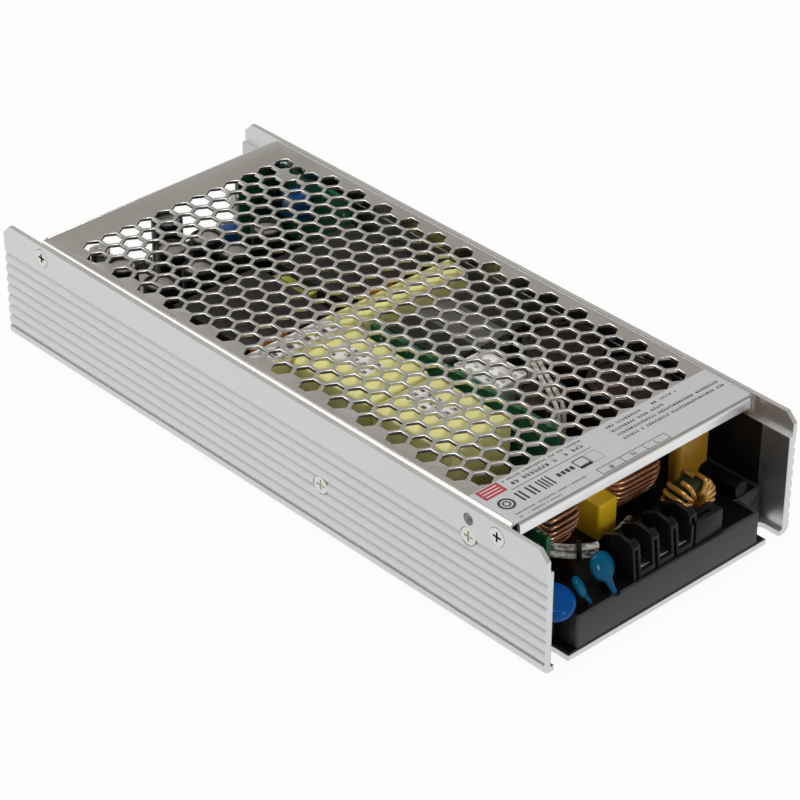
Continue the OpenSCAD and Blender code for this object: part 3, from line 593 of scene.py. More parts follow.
@dataclass(frozen=True)
class Paper(Finish):
    """A printed sticker, its foil or its ink: a smooth skin with faint mottling."""

    metallic: float = 0.0

    def fill(self, graph: Graph, main: bpy.types.Node) -> None:
        """Mottled tone.

        Args:
            graph: The material's graph.
            main: Its main shader.
        """
        fine = graph.noise(2400.0, 2.0)
        rough = fine * 0.12 + (self.roughness - 0.06)
        self.dress(graph, main, self.span(graph, graph.noise(320.0), 0.95, 1.04), rough,
                   graph.bump(fine, 0.00001, 0.2), Metallic=self.metallic)


class Palette(Enum):
    """Every finish of the part."""

    CASE = Extrusion("case_satin", (0.655, 0.66, 0.665), 0.42, metallic=0.9, cloud=0.05)
    COVER = Metal("cover_sheet", (0.78, 0.78, 0.78), 0.28, grain=(0.03, 1.0, 1.0), cloud=0.05, streak=0.12)
    PUNCHED = Metal("punched_edge", (0.60, 0.59, 0.57), 0.34, grain=(1.0, 1.0, 0.1))
    SCREW = Metal("screw_zinc", (0.68, 0.67, 0.63), 0.24, grain=(1.0, 1.0, 1.0), grain_scale=1500.0)
    TIN = Metal("tinned_metal", (0.78, 0.77, 0.73), 0.26, grain=(1.0, 0.2, 1.0))
    STUD = Metal("terminal_steel", (0.20, 0.20, 0.19), 0.2, grain=(1.0, 1.0, 1.0), depth=0.00006)
    CLAMP = Metal("spring_steel", (0.30, 0.30, 0.30), 0.4)
    CAN = Metal("can_metal", (0.55, 0.54, 0.53), 0.32, grain=(1.0, 1.0, 0.1), grain_scale=1800.0)
    COPPER_STRIP = Metal("copper_strip", (0.60, 0.28, 0.13), 0.36, grain=(0.1, 1.0, 1.0))
    FILM = Moulded("film_black", (0.008, 0.008, 0.0085), 0.42)
    TRAY = Moulded("tray_grey", (0.037, 0.037, 0.042), 0.5, dust=0.08)
    BLOCK = Moulded("block_black", (0.0060, 0.0060, 0.0070), 0.36, sheen=0.15)
    BRIDGE = Moulded("package_black", (0.010, 0.010, 0.010), 0.45)
    RELAY = Moulded("relay_white", (0.90, 0.89, 0.87), 0.4, tone=0.18)
    SLEEVE_BAND = Braid("sleeve_white", (0.96, 0.94, 0.89), 0.5)
    BOX_YELLOW = Moulded("box_yellow", (0.94, 0.60, 0.024), 0.26, tone=0.1, coat=0.3)
    BOX_AMBER = Moulded("box_amber", (0.38, 0.20, 0.016), 0.28, tone=0.35, coat=0.3)
    DISC_TEAL = Moulded("disc_teal", (0.0005, 0.080, 0.165), 0.16, texture=700.0, depth=0.00001,
                        tone=0.25, coat=0.25, sheen=0.02)
    DISC_BLUE = Moulded("disc_blue", (0.0004, 0.062, 0.27), 0.18, texture=700.0, depth=0.00001,
                        tone=0.2, coat=0.25, sheen=0.02)
    FUSE = Moulded("fuse_sleeve", (0.004, 0.004, 0.0045), 0.3, sheen=0.12)
    CAN_SLEEVE = Moulded("can_sleeve_black", (0.010, 0.008, 0.009), 0.3, coat=0.15, sheen=0.2)
    CAN_TOP = Moulded("can_top_brown", (0.024, 0.014, 0.012), 0.4, tone=0.3, sheen=0.12)
    BOX_BLUE = Moulded("box_blue", (0.012, 0.085, 0.30), 0.3, coat=0.3)
    HEADER = Moulded("header_cream", (0.70, 0.68, 0.58), 0.42)
    LENS = Moulded("lens_green", (0.08, 0.42, 0.10), 0.15, coat=0.6)
    CORE_GREEN = Ferrite("core_green", (0.012, 0.020, 0.008), 0.4)
    CORE_GREY = Ferrite("core_grey", (0.017, 0.0155, 0.0145), 0.45)
    WIRE_YELLOW = Enamel("enamel_yellow", (0.66, 0.38, 0.06), 0.2, deep=(0.30, 0.14, 0.02), metallic=0.4)
    WIRE_COPPER = Enamel("enamel_copper", (0.95, 0.55, 0.34), 0.24, deep=(0.42, 0.17, 0.08), metallic=0.75)
    TAPE_CREAM = Tape("tape_cream", (0.80, 0.77, 0.32), 0.34)
    TAPE_OLIVE = Tape("tape_olive", (0.40, 0.41, 0.08), 0.36)
    TAPE_GREY = Tape("tape_grey", (0.105, 0.102, 0.108), 0.34)
    BOARD = Board("board_green", (0.006, 0.095, 0.048), 0.3, track=(0.012, 0.13, 0.065))
    POTTING = Resin("potting_black", (0.004, 0.004, 0.0042), 0.2)
    WIRE_WHITE = Moulded("lead_white", (0.62, 0.61, 0.56), 0.42, texture=1400.0)
    TIE = Moulded("tie_black", (0.010, 0.010, 0.010), 0.4)
    FOIL = Paper("label_foil", (0.56, 0.57, 0.60), 0.38, metallic=0.2)
    STICKER = Paper("sticker_white", (0.74, 0.74, 0.73), 0.45)
    INK = Paper("print_ink", (0.020, 0.020, 0.026), 0.5)
    INK_PALE = Paper("print_grey", (0.055, 0.053, 0.065), 0.5)
    INK_SOFT = Paper("print_soft", (0.38, 0.37, 0.36), 0.5)
    INK_RED = Paper("print_red", (0.37, 0.028, 0.050), 0.42)
    INK_WHITE = Paper("print_white", (0.70, 0.62, 0.63), 0.42)

    def material(self) -> bpy.types.Material:
        """The finish's material."""
        return self.value.material()


FINISH_NODES: dict[Palette, str] = {
    Palette.CASE: "case_extrusion",
    Palette.COVER: "top_cover",
    Palette.SCREW: "cover_screws wall_screws bridge_screw bridge_nut",
    Palette.FILM: "wall_film base_film",
    Palette.TRAY: "potting_tray tray_nose",
    Palette.BOARD: "main_board input_board control_board output_board signal_board",
    Palette.POTTING: "potting potting_nose",
    Palette.BLOCK: "input_block boost_bobbins output_base",
    Palette.STUD: "input_screws input_clamps",
    Palette.CORE_GREEN: "common_choke_core",
    Palette.WIRE_YELLOW: "common_choke_wire",
    Palette.CORE_GREY: "left_choke_core right_choke_core resonant_core transformer_cores",
    Palette.WIRE_COPPER: "left_choke_wire right_choke_wire",
    Palette.SLEEVE_BAND: "sleeved_leads",
    Palette.BOX_YELLOW: "x_capacitor_front",
    Palette.BOX_AMBER: "x_capacitor_rear",
    Palette.DISC_TEAL: "y_capacitors",
    Palette.DISC_BLUE: "varistor",
    Palette.FUSE: "fuse_tube fuse_caps",
    Palette.BRIDGE: "bridge_rectifier left_transistors right_transistors",
    Palette.RELAY: "relay",
    Palette.TAPE_CREAM: "boost_inductors isolation_bar",
    Palette.CAN_TOP: "bulk_cans",
    Palette.CAN_SLEEVE: "bulk_sleeves output_sleeves",
    Palette.TAPE_GREY: "resonant_tape",
    Palette.TAPE_OLIVE: "transformer_tape",
    Palette.COPPER_STRIP: "transformer_foils",
    Palette.CAN: "output_cans",
    Palette.BOX_BLUE: "film_capacitor trimmer",
    Palette.HEADER: "signal_header",
    Palette.LENS: "indicator",
    Palette.TIN: "output_bars output_screws",
    Palette.CLAMP: "left_clamp right_clamp",
}
NODE_FINISH = {node: finish for finish, nodes in FINISH_NODES.items() for node in nodes.split()}


def add_object(name: str, data: bpy.types.ID) -> bpy.types.Object:
    """Adds an object to the scene.

    Args:
        name: The object's name.
        data: Its mesh, light or camera.

    Returns:
        The object.
    """
    made = bpy.data.objects.new(name, data)
    bpy.context.scene.collection.objects.link(made)
    return made


def add_piece(name: str, mesh: Mesh, finish: Optional[Palette], slot: str,
              replaced: Sequence[str] = ()) -> bpy.types.Object:
    """Adds a finished mesh to the part.

    Args:
        name: The piece's name.
        mesh: Its mesh, in place.
        finish: Its finish, or None where the mesh has its own materials.
        slot: The record's slot; not used.
        replaced: The solids that it stands for.

    Returns:
        The piece.
    """
    if finish is not None:
        mesh.materials.clear()
        mesh.materials.append(finish.material())
    piece = add_object(name, mesh)
    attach(piece, BODY)
    if replaced:
        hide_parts(*replaced)
    LOG.info("piece %s: %d faces", name, len(mesh.polygons))
    return piece


def smooth(mesh: Mesh, angle: float = 40.0) -> Mesh:
    """Smooth shading, sharp past an angle in degrees.

    Args:
        mesh: The mesh.
        angle: The angle past which an edge stays sharp.

    Returns:
        The same mesh.
    """
    mesh.polygons.foreach_set("use_smooth", [True] * len(mesh.polygons))
    mesh.set_sharp_from_angle(angle=math.radians(angle))
    mesh.update()
    return mesh


def from_bmesh(name: str, work: Work) -> Mesh:
    """Turns a working mesh into a smooth-shaded mesh.

    Args:
        name: The new mesh's name.
        work: The working mesh, which is freed.

    Returns:
        The mesh.
    """
    mesh = bpy.data.meshes.new(name)
    work.to_mesh(mesh)
    work.free()
    return smooth(mesh)


def working_copy(source: bpy.types.Object) -> Work:
    """A working mesh of a solid, with each flat face in one.

    Args:
        source: The solid's object.

    Returns:
        The working mesh.
    """
    work = bmesh.new()
    work.from_mesh(source.data)
    bmesh.ops.remove_doubles(work, verts=work.verts, dist=MERGE)
    bmesh.ops.dissolve_limit(work, angle_limit=FLAT, verts=work.verts, edges=work.edges)
    return work


def round_edges(work: Work, edges: Sequence[bmesh.types.BMEdge], width: float,
                segments: int = 2, **options: Any) -> None:
    """Rounds edges.

    Args:
        work: The working mesh.
        edges: The edges that are rounded.
        width: How far the rounding reaches from an edge.
        segments: Faces across a rounding.
        options: Other settings of the bevel.
    """
    settings = {"clamp_overlap": True, **options}
    bmesh.ops.bevel(work, geom=edges, offset=width, offset_type="OFFSET", segments=segments,
                    profile=0.5, affect="EDGES", **settings)


def split_large(work: Work) -> None:
    """Splits faces with more than four corners into triangles."""
    bmesh.ops.triangulate(work, faces=[f for f in work.faces if len(f.verts) > 4])


def rounded_copy(source: bpy.types.Object, name: str, width: float,
                 seam: Optional[float] = None) -> Mesh:
    """A copy of a solid's mesh with its sharp edges rounded.

    Args:
        source: The solid's object.
        name: The new mesh's name.
        width: How far the rounding reaches from an edge.
        seam: A place along Y where two solids of one moulding meet, which stays sharp.

    Returns:
        The new mesh.
    """
    work = working_copy(source)
    sharp = [e for e in work.edges if len(e.link_faces) == 2 and e.calc_face_angle(0.0) > SHARP]
    if seam is not None:
        sharp = [e for e in sharp if any(abs(v.co.y - seam) > NEAR for v in e.verts)]
    round_edges(work, sharp, width)
    split_large(work)
    return from_bmesh(name, work)


class GeometryTree:
    """A Geometry Nodes tree with named inputs, run once to give a plain mesh."""

    def __init__(self, name: str, inputs: dict[str, tuple[str, Any]]) -> None:
        """Makes the tree's interface.

        Args:
            name: The tree's name.
            inputs: Each input's name, with its socket type and its first value.
        """
        self.tree = bpy.data.node_groups.new(name, "GeometryNodeTree")
        self.graph = Graph(self.tree)
        face = self.tree.interface
        face.new_socket("Geometry", in_out="INPUT", socket_type="NodeSocketGeometry")
        self.keys: dict[str, str] = {}
        for title, (kind, first) in inputs.items():
            socket = face.new_socket(title, in_out="INPUT", socket_type=kind)
            if first is not None:
                socket.default_value = first
            self.keys[title] = socket.identifier
        face.new_socket("Geometry", in_out="OUTPUT", socket_type="NodeSocketGeometry")
        self.start = self.tree.nodes.new("NodeGroupInput")
        self.end = self.tree.nodes.new("NodeGroupOutput")

    def input(self, title: str) -> Value:
        """One named input."""
        return Value(self.graph, self.start.outputs[title])

    def circle(self, radius: str, sides: int) -> Value:
        """A circle with a radius from a named input."""
        inputs = {"Resolution": sides, "Radius": self.input(radius)}
        return self.graph.node("GeometryNodeCurvePrimitiveCircle", {"mode": "RADIUS"}, inputs)

    def tube(self, path: Value, radius: str, sides: int) -> Value:
        """A smooth round tube along a curve.

        Args:
            path: The curve.
            radius: The named input that gives the radius.
            sides: Sides of the cross-section.

        Returns:
            The tube.
        """
        inputs = {"Curve": path, "Profile Curve": self.circle(radius, sides), "Fill Caps": True}
        tube = self.graph.node("GeometryNodeCurveToMesh", inputs=inputs)
        return self.graph.node("GeometryNodeSetShadeSmooth", inputs={"Geometry": tube})

    def close(self, shape: Value) -> None:
        """Ends the tree in real geometry with the material that is given.

        Args:
            shape: The geometry that the tree gives.
        """
        real = self.graph.node("GeometryNodeRealizeInstances", inputs={"Geometry": shape})
        inputs = {"Geometry": real, "Material": self.input("Material")}
        done = self.graph.node("GeometryNodeSetMaterial", inputs=inputs)
        self.tree.links.new(done.socket, self.end.inputs[0])

    def run(self, name: str, base: Optional[Mesh] = None, **values: Any) -> Mesh:
        """Runs the tree.

        Args:
            name: The new mesh's name.
            base: The mesh that goes in, where the tree reads one.
            values: The inputs' values, by name with _ for a space.

        Returns:
            A plain mesh.
        """
        base = base or bpy.data.meshes.new(name + ".base")
        carrier = add_object(name + ".carrier", base)
        modifier = carrier.modifiers.new("shape", "NODES")
        modifier.node_group = self.tree
        for key, value in values.items():
            modifier[self.keys[key.replace("_", " ")]] = value
        seen = carrier.evaluated_get(bpy.context.evaluated_depsgraph_get())
        mesh = bpy.data.meshes.new_from_object(seen)
        mesh.name = name
        carrier.modifiers.remove(modifier)
        bpy.data.objects.remove(carrier)
        return mesh


FLOAT = "NodeSocketFloat"
INTEGER = "NodeSocketInt"
MATERIAL = "NodeSocketMaterial"
VECTOR = "NodeSocketVector"


def winding_tree() -> GeometryTree:
    """A wire wound round a ring core about the Z axis, with rounded-square turns.

    Returns:
        The tree, with the winding's sizes as inputs.
    """
    made = GeometryTree("winding", {
        "Turns": (FLOAT, 18.0), "Steps": (INTEGER, 600), "Middle": (FLOAT, 0.007),
        "Half Width": (FLOAT, 0.003), "Half Height": (FLOAT, 0.005), "Wire": (FLOAT, 0.0006),
        "From": (FLOAT, 0.0), "Sweep": (FLOAT, 6.0), "Square": (FLOAT, 0.5),
        "Wander": (FLOAT, 0.0001), "Material": (MATERIAL, None)})
    g = made.graph
    line = g.node("GeometryNodeCurvePrimitiveLine", inputs={"End": (0.0, 0.0, 1.0)})
    path = g.node("GeometryNodeResampleCurve", inputs={"Curve": line, "Count": made.input("Steps")})
    share = g.node("GeometryNodeInputIndex") / (made.input("Steps") - 1.0)
    around = made.input("From") + made.input("Sweep") * share
    phase = made.input("Turns") * share * FULL_TURN

    def squared(wave: Value) -> Value:
        """A sine made fuller, so that the turn is a rounded square."""
        return wave.math("SIGN") * (wave.math("ABSOLUTE") ** made.input("Square"))

    drift = {"W": share * 60.0, "Scale": 1.0}
    loose = g.node("ShaderNodeTexNoise", {"noise_dimensions": "1D"}, drift)
    slack = (loose - 0.5) * made.input("Wander")
    radius = made.input("Middle") + (made.input("Half Width") + slack) * squared(phase.math("COSINE"))
    height = (made.input("Half Height") + slack) * squared(phase.math("SINE"))
    place = g.node("ShaderNodeCombineXYZ", inputs={
        "X": radius * around.math("COSINE"), "Y": radius * around.math("SINE"), "Z": height})
    bent = g.node("GeometryNodeSetPosition", inputs={"Geometry": path, "Position": place})
    made.close(made.tube(bent, "Wire", 10))
    return made


def print_tree() -> GeometryTree:
    """A line of small plain marks of one to three bars each, drawn at random from four kinds.

    Returns:
        The tree, with the line's ends and the marks' sizes as inputs.
    """
    made = GeometryTree("print_line", {
        "Count": (INTEGER, 20), "From": (VECTOR, (0, 0, 0)), "To": (VECTOR, (0, 0, 0)),
        "Mark": (FLOAT, 0.001), "Height": (FLOAT, 0.001), "Share": (FLOAT, 0.85),
        "Seed": (INTEGER, 1), "Material": (MATERIAL, None)})
    g = made.graph
    line = g.node("GeometryNodeMeshLine", {"mode": "END_POINTS"}, {
        "Count": made.input("Count"), 2: made.input("From"), 3: made.input("To")})

    def mark(*bars: Quad) -> Value:
        """One mark, as bars given by middle and size.

        Args:
            bars: Each bar's middle and size, as shares of the mark.

        Returns:
            The mark, as an instance.
        """
        parts = []
        for x, y, w, h in bars:
            size = {"Size X": w, "Size Y": h, "Vertices X": 2, "Vertices Y": 2}
            bar = g.node("GeometryNodeMeshGrid", inputs=size)
            moved = {"Geometry": bar, "Translation": (x, y, 0.0)}
            parts.append(g.node("GeometryNodeTransform", inputs=moved))
        whole = g.node("GeometryNodeJoinGeometry", inputs={"Geometry": parts})
        return g.node("GeometryNodeGeometryToInstance", inputs={"Geometry": whole})

    kinds = g.node("GeometryNodeJoinGeometry", inputs={"Geometry": [
        mark((-0.32, 0, 0.3, 1.0), (0.22, -0.15, 0.5, 0.7)),
        mark((0, -0.12, 0.9, 0.76)),
        mark((-0.2, -0.2, 0.52, 0.6), (0.36, 0, 0.26, 1.0)),
        mark((-0.34, 0, 0.26, 1.0), (0.06, -0.3, 0.3, 0.4), (0.42, -0.1, 0.24, 0.8))]})
    seed = made.input("Seed")
    draw = "FunctionNodeRandomValue"
    kept = g.node(draw, {"data_type": "BOOLEAN"}, {"Probability": made.input("Share"), "Seed": seed}, out=3)
    kind = g.node(draw, {"data_type": "INT"}, {4: 0, 5: 3, "Seed": seed + 5.0}, out=2)
    wide = g.node(draw, {"data_type": "FLOAT"}, {2: 0.8, 3: 1.0, "Seed": seed + 7.0}, out=1)
    across = made.input("Mark") * wide
    size = g.node("ShaderNodeCombineXYZ", inputs={"X": across, "Y": made.input("Height"), "Z": 1.0})
    made.close(g.node("GeometryNodeInstanceOnPoints", inputs={
        "Points": line, "Selection": kept, "Instance": kinds, "Pick Instance": True,
        "Instance Index": kind, "Scale": size}))
    return made


def tube_tree() -> GeometryTree:
    """A round wire along the edges of the mesh that goes in.

    Returns:
        The tree, with the wire's radius as an input.
    """
    made = GeometryTree("tube", {"Radius": (FLOAT, 0.001), "Material": (MATERIAL, None)})
    path = made.graph.node("GeometryNodeMeshToCurve", inputs={"Mesh": made.input("Geometry")})
    made.close(made.tube(path, "Radius", 12))
    return made


def ring_tree() -> GeometryTree:
    """A low round bead on every point, as resin climbs round a lead.

    Returns:
        The tree, with the bead's two radii as inputs.
    """
    made = GeometryTree("beads", {
        "Radius": (FLOAT, 0.001), "Bead": (FLOAT, 0.0004), "Material": (MATERIAL, None)})
    bead = made.tube(made.circle("Radius", 24), "Bead", 8)
    inputs = {"Points": made.input("Geometry"), "Instance": bead}
    made.close(made.graph.node("GeometryNodeInstanceOnPoints", inputs=inputs))
    return made


def points_mesh(name: str, places: Sequence[Sequence[float]]) -> Mesh:
    """A mesh of loose points.

    Args:
        name: The mesh's name.
        places: The points.

    Returns:
        The mesh.
    """
    mesh = bpy.data.meshes.new(name)
    mesh.from_pydata([tuple(p) for p in places], [], [])
    return mesh


def joined(name: str, meshes: Sequence[Mesh]) -> Mesh:
    """Several meshes of one material as one mesh.

    Args:
        name: The new mesh's name.
        meshes: The meshes, which are removed.

    Returns:
        The joined mesh.
    """
    work = bmesh.new()
    for mesh in meshes:
        work.from_mesh(mesh)
    made = bpy.data.meshes.new(name)
    work.to_mesh(made)
    work.free()
    if meshes and meshes[0].materials:
        made.materials.append(meshes[0].materials[0])
    for mesh in meshes:
        bpy.data.meshes.remove(mesh)
    return made


@dataclass
class Sheet:
    """A flat sticker or field of print: a rectangle with a little thickness."""

    low: Pair
    high: Pair
    z: float
    thick: float = 0.05 * MM
    corner: float = 0.0

    def mesh(self, name: str) -> Mesh:
        """The sheet's mesh, with rounded corners where they are given.

        Args:
            name: The mesh's name.

        Returns:
            The mesh.
        """
        work = bmesh.new()
        self.add_to(work)
        return from_bmesh(name, work)

    def outline(self) -> list[Pair]:
        """The corners, counter-clockwise, as arcs where they are round.

        Returns:
            The corners, in metres.
        """
        (x0, y0), (x1, y1) = self.low, self.high
        if self.corner <= 0:
            return [(x0, y0), (x1, y0), (x1, y1), (x0, y1)]
        r = self.corner
        centres = [(x0 + r, y0 + r, 180), (x1 - r, y0 + r, 270),
                   (x1 - r, y1 - r, 0), (x0 + r, y1 - r, 90)]
        arcs = [(cx, cy, math.radians(a + t)) for cx, cy, a in centres for t in (0, 22.5, 45, 67.5, 90)]
        return [(cx + r * math.cos(a), cy + r * math.sin(a)) for cx, cy, a in arcs]

    def add_to(self, work: Work) -> None:
        """Adds the sheet to a working mesh.

        Args:
            work: The working mesh.
        """
        rim = self.outline()
        top = [work.verts.new((x, y, self.z + self.thick)) for x, y in rim]
        foot = [work.verts.new((x, y, self.z)) for x, y in rim]
        work.faces.new(top)
        work.faces.new(list(reversed(foot)))
        for i in range(len(rim)):
            j = (i + 1) % len(rim)
            work.faces.new((foot[i], foot[j], top[j], top[i]))


@dataclass
class PrintLine:
    """One line of small print: where it runs and how tall its marks are."""

    start: float
    end: float
    y: float
    height: float
    seed: int
    share: float = 0.86
    pitch: float = 0.8
    filled: float = 0.8

    def mesh(self, tree: GeometryTree, name: str, z: float, ink: Palette) -> Mesh:
        """The line's marks, from sizes in millimetres.

        Args:
            tree: The tree of print marks.
            name: The mesh's name.
            z: The marks' height, in metres.
            ink: Their finish.

        Returns:
            The marks.
        """
        step = self.height * self.pitch
        count = max(2, int((self.end - self.start) / step))
        return tree.run(name, Count=count, From=Vector((self.start * MM, self.y * MM, z)),
                        To=Vector((self.end * MM, self.y * MM, z)), Mark=step * self.filled * MM,
                        Height=self.height * MM, Share=self.share, Seed=self.seed,
                        Material=ink.material())


@dataclass
class Label:
    """The foil label at the mains end of the cover, with fields of colour and lines of plain marks.

    Its sizes are in millimetres.
    """

    low: Pair = (-47.0, -103.4)
    high: Pair = (46.9, -85.6)
    foil_t: float = 0.03
    ink_t: float = 0.012
    red: Quad = (-45.2, -90.6, -37.1, -85.9)
    red_inset: float = 0.9
    red_count: int = 3
    red_share: float = 0.3
    lines: tuple[PrintLine, ...] = (
        PrintLine(-35.4, -7.6, -89.1, 1.7, 3), PrintLine(-35.5, -6.0, -86.9, 1.0, 5),
        PrintLine(-43.6, -28.2, -101.9, 0.75, 8), PrintLine(-43.6, -17.2, -100.3, 0.75, 11),
        PrintLine(4.4, 44.6, -94.5, 1.25, 14), PrintLine(4.4, 44.6, -92.2, 1.25, 17),
        PrintLine(4.4, 24.4, -89.9, 1.25, 21), PrintLine(4.4, 24.0, -87.6, 1.25, 23),
        PrintLine(26.4, 32.2, -87.6, 1.0, 25))
    rule: Triple = (-36.5, -5.8, -91.5)
    cells: tuple[float, ...] = (-12.8, -3.8, 5.1, 14.3)
    cell_y: Pair = (-103.1, -100.1)
    stroke: float = 0.24
    mark_stroke: float = 0.26
    mark_half: float = 0.8
    earth_stem: float = 0.9
    earth_bars: Triple = (0.9, 0.6, 0.3)
    earth_step: float = 0.4
    neutral_half: float = 0.6
    line_half: float = 0.5
    rings: tuple[Pair, ...] = ((2.6, 0.75), (1.3, 0.5))
    ring_at: Pair = (-42.1, -95.2)
    ring_steps: int = 40
    bars: tuple[tuple[tuple[float, ...], float, float, float], ...] = (
        ((-37.4, -35.9, -33.4, -31.9), 0.75, -97.4, -92.9),
        ((-29.4, -28.2, -27.0, -25.6), 0.6, -97.5, -92.8),
        ((-22.6, -20.9, -19.2, -17.5), 1.2, -95.9, -94.2),
        ((-15.2,), 4.6, -97.3, -96.1))
    boxes: tuple[tuple[float, float, float, float, float], ...] = (
        (-15.2, -97.3, -10.6, -92.8, 0.4), (-10.2, -97.3, -5.9, -92.8, 0.12))

    def build(self, tree: GeometryTree) -> None:
        """Builds the foil, the fields and the print.

        Args:
            tree: The tree of print marks.
        """
        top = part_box("top_cover")[1].z
        foil = Sheet(self._mm(self.low), self._mm(self.high), top, self.foil_t * MM)
        add_piece("label_foil", foil.mesh("label_foil"), Palette.FOIL, "cover_metal")
        z = top + self.foil_t * MM
        red = Sheet(self._mm(self.red[:2]), self._mm(self.red[2:]), z, self.ink_t * MM)
        add_piece("label_red_field", red.mesh("label_red_field"), Palette.INK_RED, "cover_metal")
        over = z + self.ink_t * MM
        add_piece("label_red_bars", self._red_bars(over), Palette.INK_WHITE, "cover_metal")
        marks = [line.mesh(tree, f"line_{i}", over, Palette.INK) for i, line in enumerate(self.lines)]
        add_piece("label_print", joined("label_print", marks), Palette.INK, "cover_metal")
        add_piece("label_shapes", self._shapes(z), Palette.INK, "cover_metal")

    def _red_bars(self, z: float) -> Mesh:
        """Plain pale bars across the red field.

        Args:
            z: Height, in metres.

        Returns:
            The bars.
        """
        work = bmesh.new()
        x0, y0, x1, y1 = self.red
        inset = self.red_inset
        pitch = (y1 - y0 - inset) / self.red_count
        for i in range(self.red_count):
            y = y0 + inset + i * pitch
            self._bar(work, x0 + inset, y, x1 - inset, y + pitch * self.red_share, z)
        return from_bmesh("label_red_bars", work)

    @staticmethod
    def _mm(pair: Sequence[float]) -> Pair:
        """Two millimetre values in metres."""
        return pair[0] * MM, pair[1] * MM

    def _bar(self, work: Work, x0: float, y0: float, x1: float, y1: float,
             z: float) -> None:
        """Adds one field of ink, in millimetres."""
        Sheet(self._mm((x0, y0)), self._mm((x1, y1)), z, self.ink_t * MM).add_to(work)

    def _frame(self, work: Work, x0: float, y0: float, x1: float, y1: float,
               z: float, s: float) -> None:
        """Adds a rectangle drawn as four strokes.

        Args:
            work: The working mesh.
            x0: Left side.
            y0: Near side.
            x1: Right side.
            y1: Far side.
            z: Height, in metres.
            s: Width of a stroke.
        """
        self._bar(work, x0, y0, x1, y0 + s, z)
        self._bar(work, x0, y1 - s, x1, y1, z)
        self._bar(work, x0, y0 + s, x0 + s, y1 - s, z)
        self._bar(work, x1 - s, y0 + s, x1, y1 - s, z)

    def _ring(self, work: Work, r: float, w: float, z: float) -> None:
        """Adds a ring of ink, in millimetres.

        Args:
            work: The working mesh.
            r: Outer radius.
            w: Width of the ring.
            z: Height, in metres.
        """
        steps = self.ring_steps
        top = z + self.ink_t * MM
        x, y = self._mm(self.ring_at)
        turns = [FULL_TURN * i / steps for i in range(steps)]
        outer, inner = ([work.verts.new((x + q * MM * math.cos(a), y + q * MM * math.sin(a), top))
                         for a in turns] for q in (r, r - w))
        for i in range(steps):
            j = (i + 1) % steps
            work.faces.new((outer[i], outer[j], inner[j], inner[i]))

    def _slant(self, work: Work, a: Pair, b: Pair,
               w: float, z: float) -> None:
        """Adds a slanted stroke between two places, in millimetres.

        Args:
            work: The working mesh.
            a: Where the stroke starts.
            b: Where it ends.
            w: Half its width.
            z: Height, in metres.
        """
        top = z + self.ink_t * MM
        corners = ((a[0] - w, a[1]), (a[0] + w, a[1]), (b[0] + w, b[1]), (b[0] - w, b[1]))
        work.faces.new([work.verts.new((x * MM, y * MM, top)) for x, y in corners])

    def _marks(self, work: Work, z: float) -> None:
        """The plain earth, neutral and line marks of the three mains poles.

        Args:
            work: The working mesh.
            z: Height, in metres.
        """
        s, h = self.mark_stroke, self.mark_half
        y = sum(self.cell_y) / 2
        earth, neutral, line = (sum(self.cells[i:i + 2]) / 2 for i in range(3))
        self._bar(work, earth - s / 2, y, earth + s / 2, y + self.earth_stem, z)
        for i, w in enumerate(self.earth_bars):
            high = y - self.earth_step * i
            self._bar(work, earth - w, high - s, earth + w, high, z)
        n = self.neutral_half
        for side in (-n, n):
            self._bar(work, neutral + side - s / 2, y - h, neutral + side + s / 2, y + h, z)
        self._slant(work, (neutral + n, y - h), (neutral - n, y + h), s / 2, z)
        left = line - self.line_half
        self._bar(work, left, y - h, left + s, y + h, z)
        self._bar(work, left, y - h, line + self.line_half, y - h + s, z)

    def _shapes(self, z: float) -> Mesh:
        """The rule, the terminal fields with their marks, the rings, the bars and the boxes.

        Args:
            z: Height, in metres.

        Returns:
            The shapes.
        """
        work = bmesh.new()
        s = self.stroke
        self._bar(work, self.rule[0], self.rule[2], self.rule[1], self.rule[2] + s, z)
        self._frame(work, self.cells[0], self.cell_y[0], self.cells[-1], self.cell_y[1], z, s)
        for x in self.cells[1:-1]:
            self._bar(work, x, self.cell_y[0] + s, x + s, self.cell_y[1] - s, z)
        self._marks(work, z)
        for radius, width in self.rings:
            self._ring(work, radius, width, z)
        for lefts, width, low, high in self.bars:
            for x in lefts:
                self._bar(work, x, low, x + width, high, z)
        for box in self.boxes:
            self._frame(work, *box[:4], z, box[4])
        return from_bmesh("label_shapes", work)


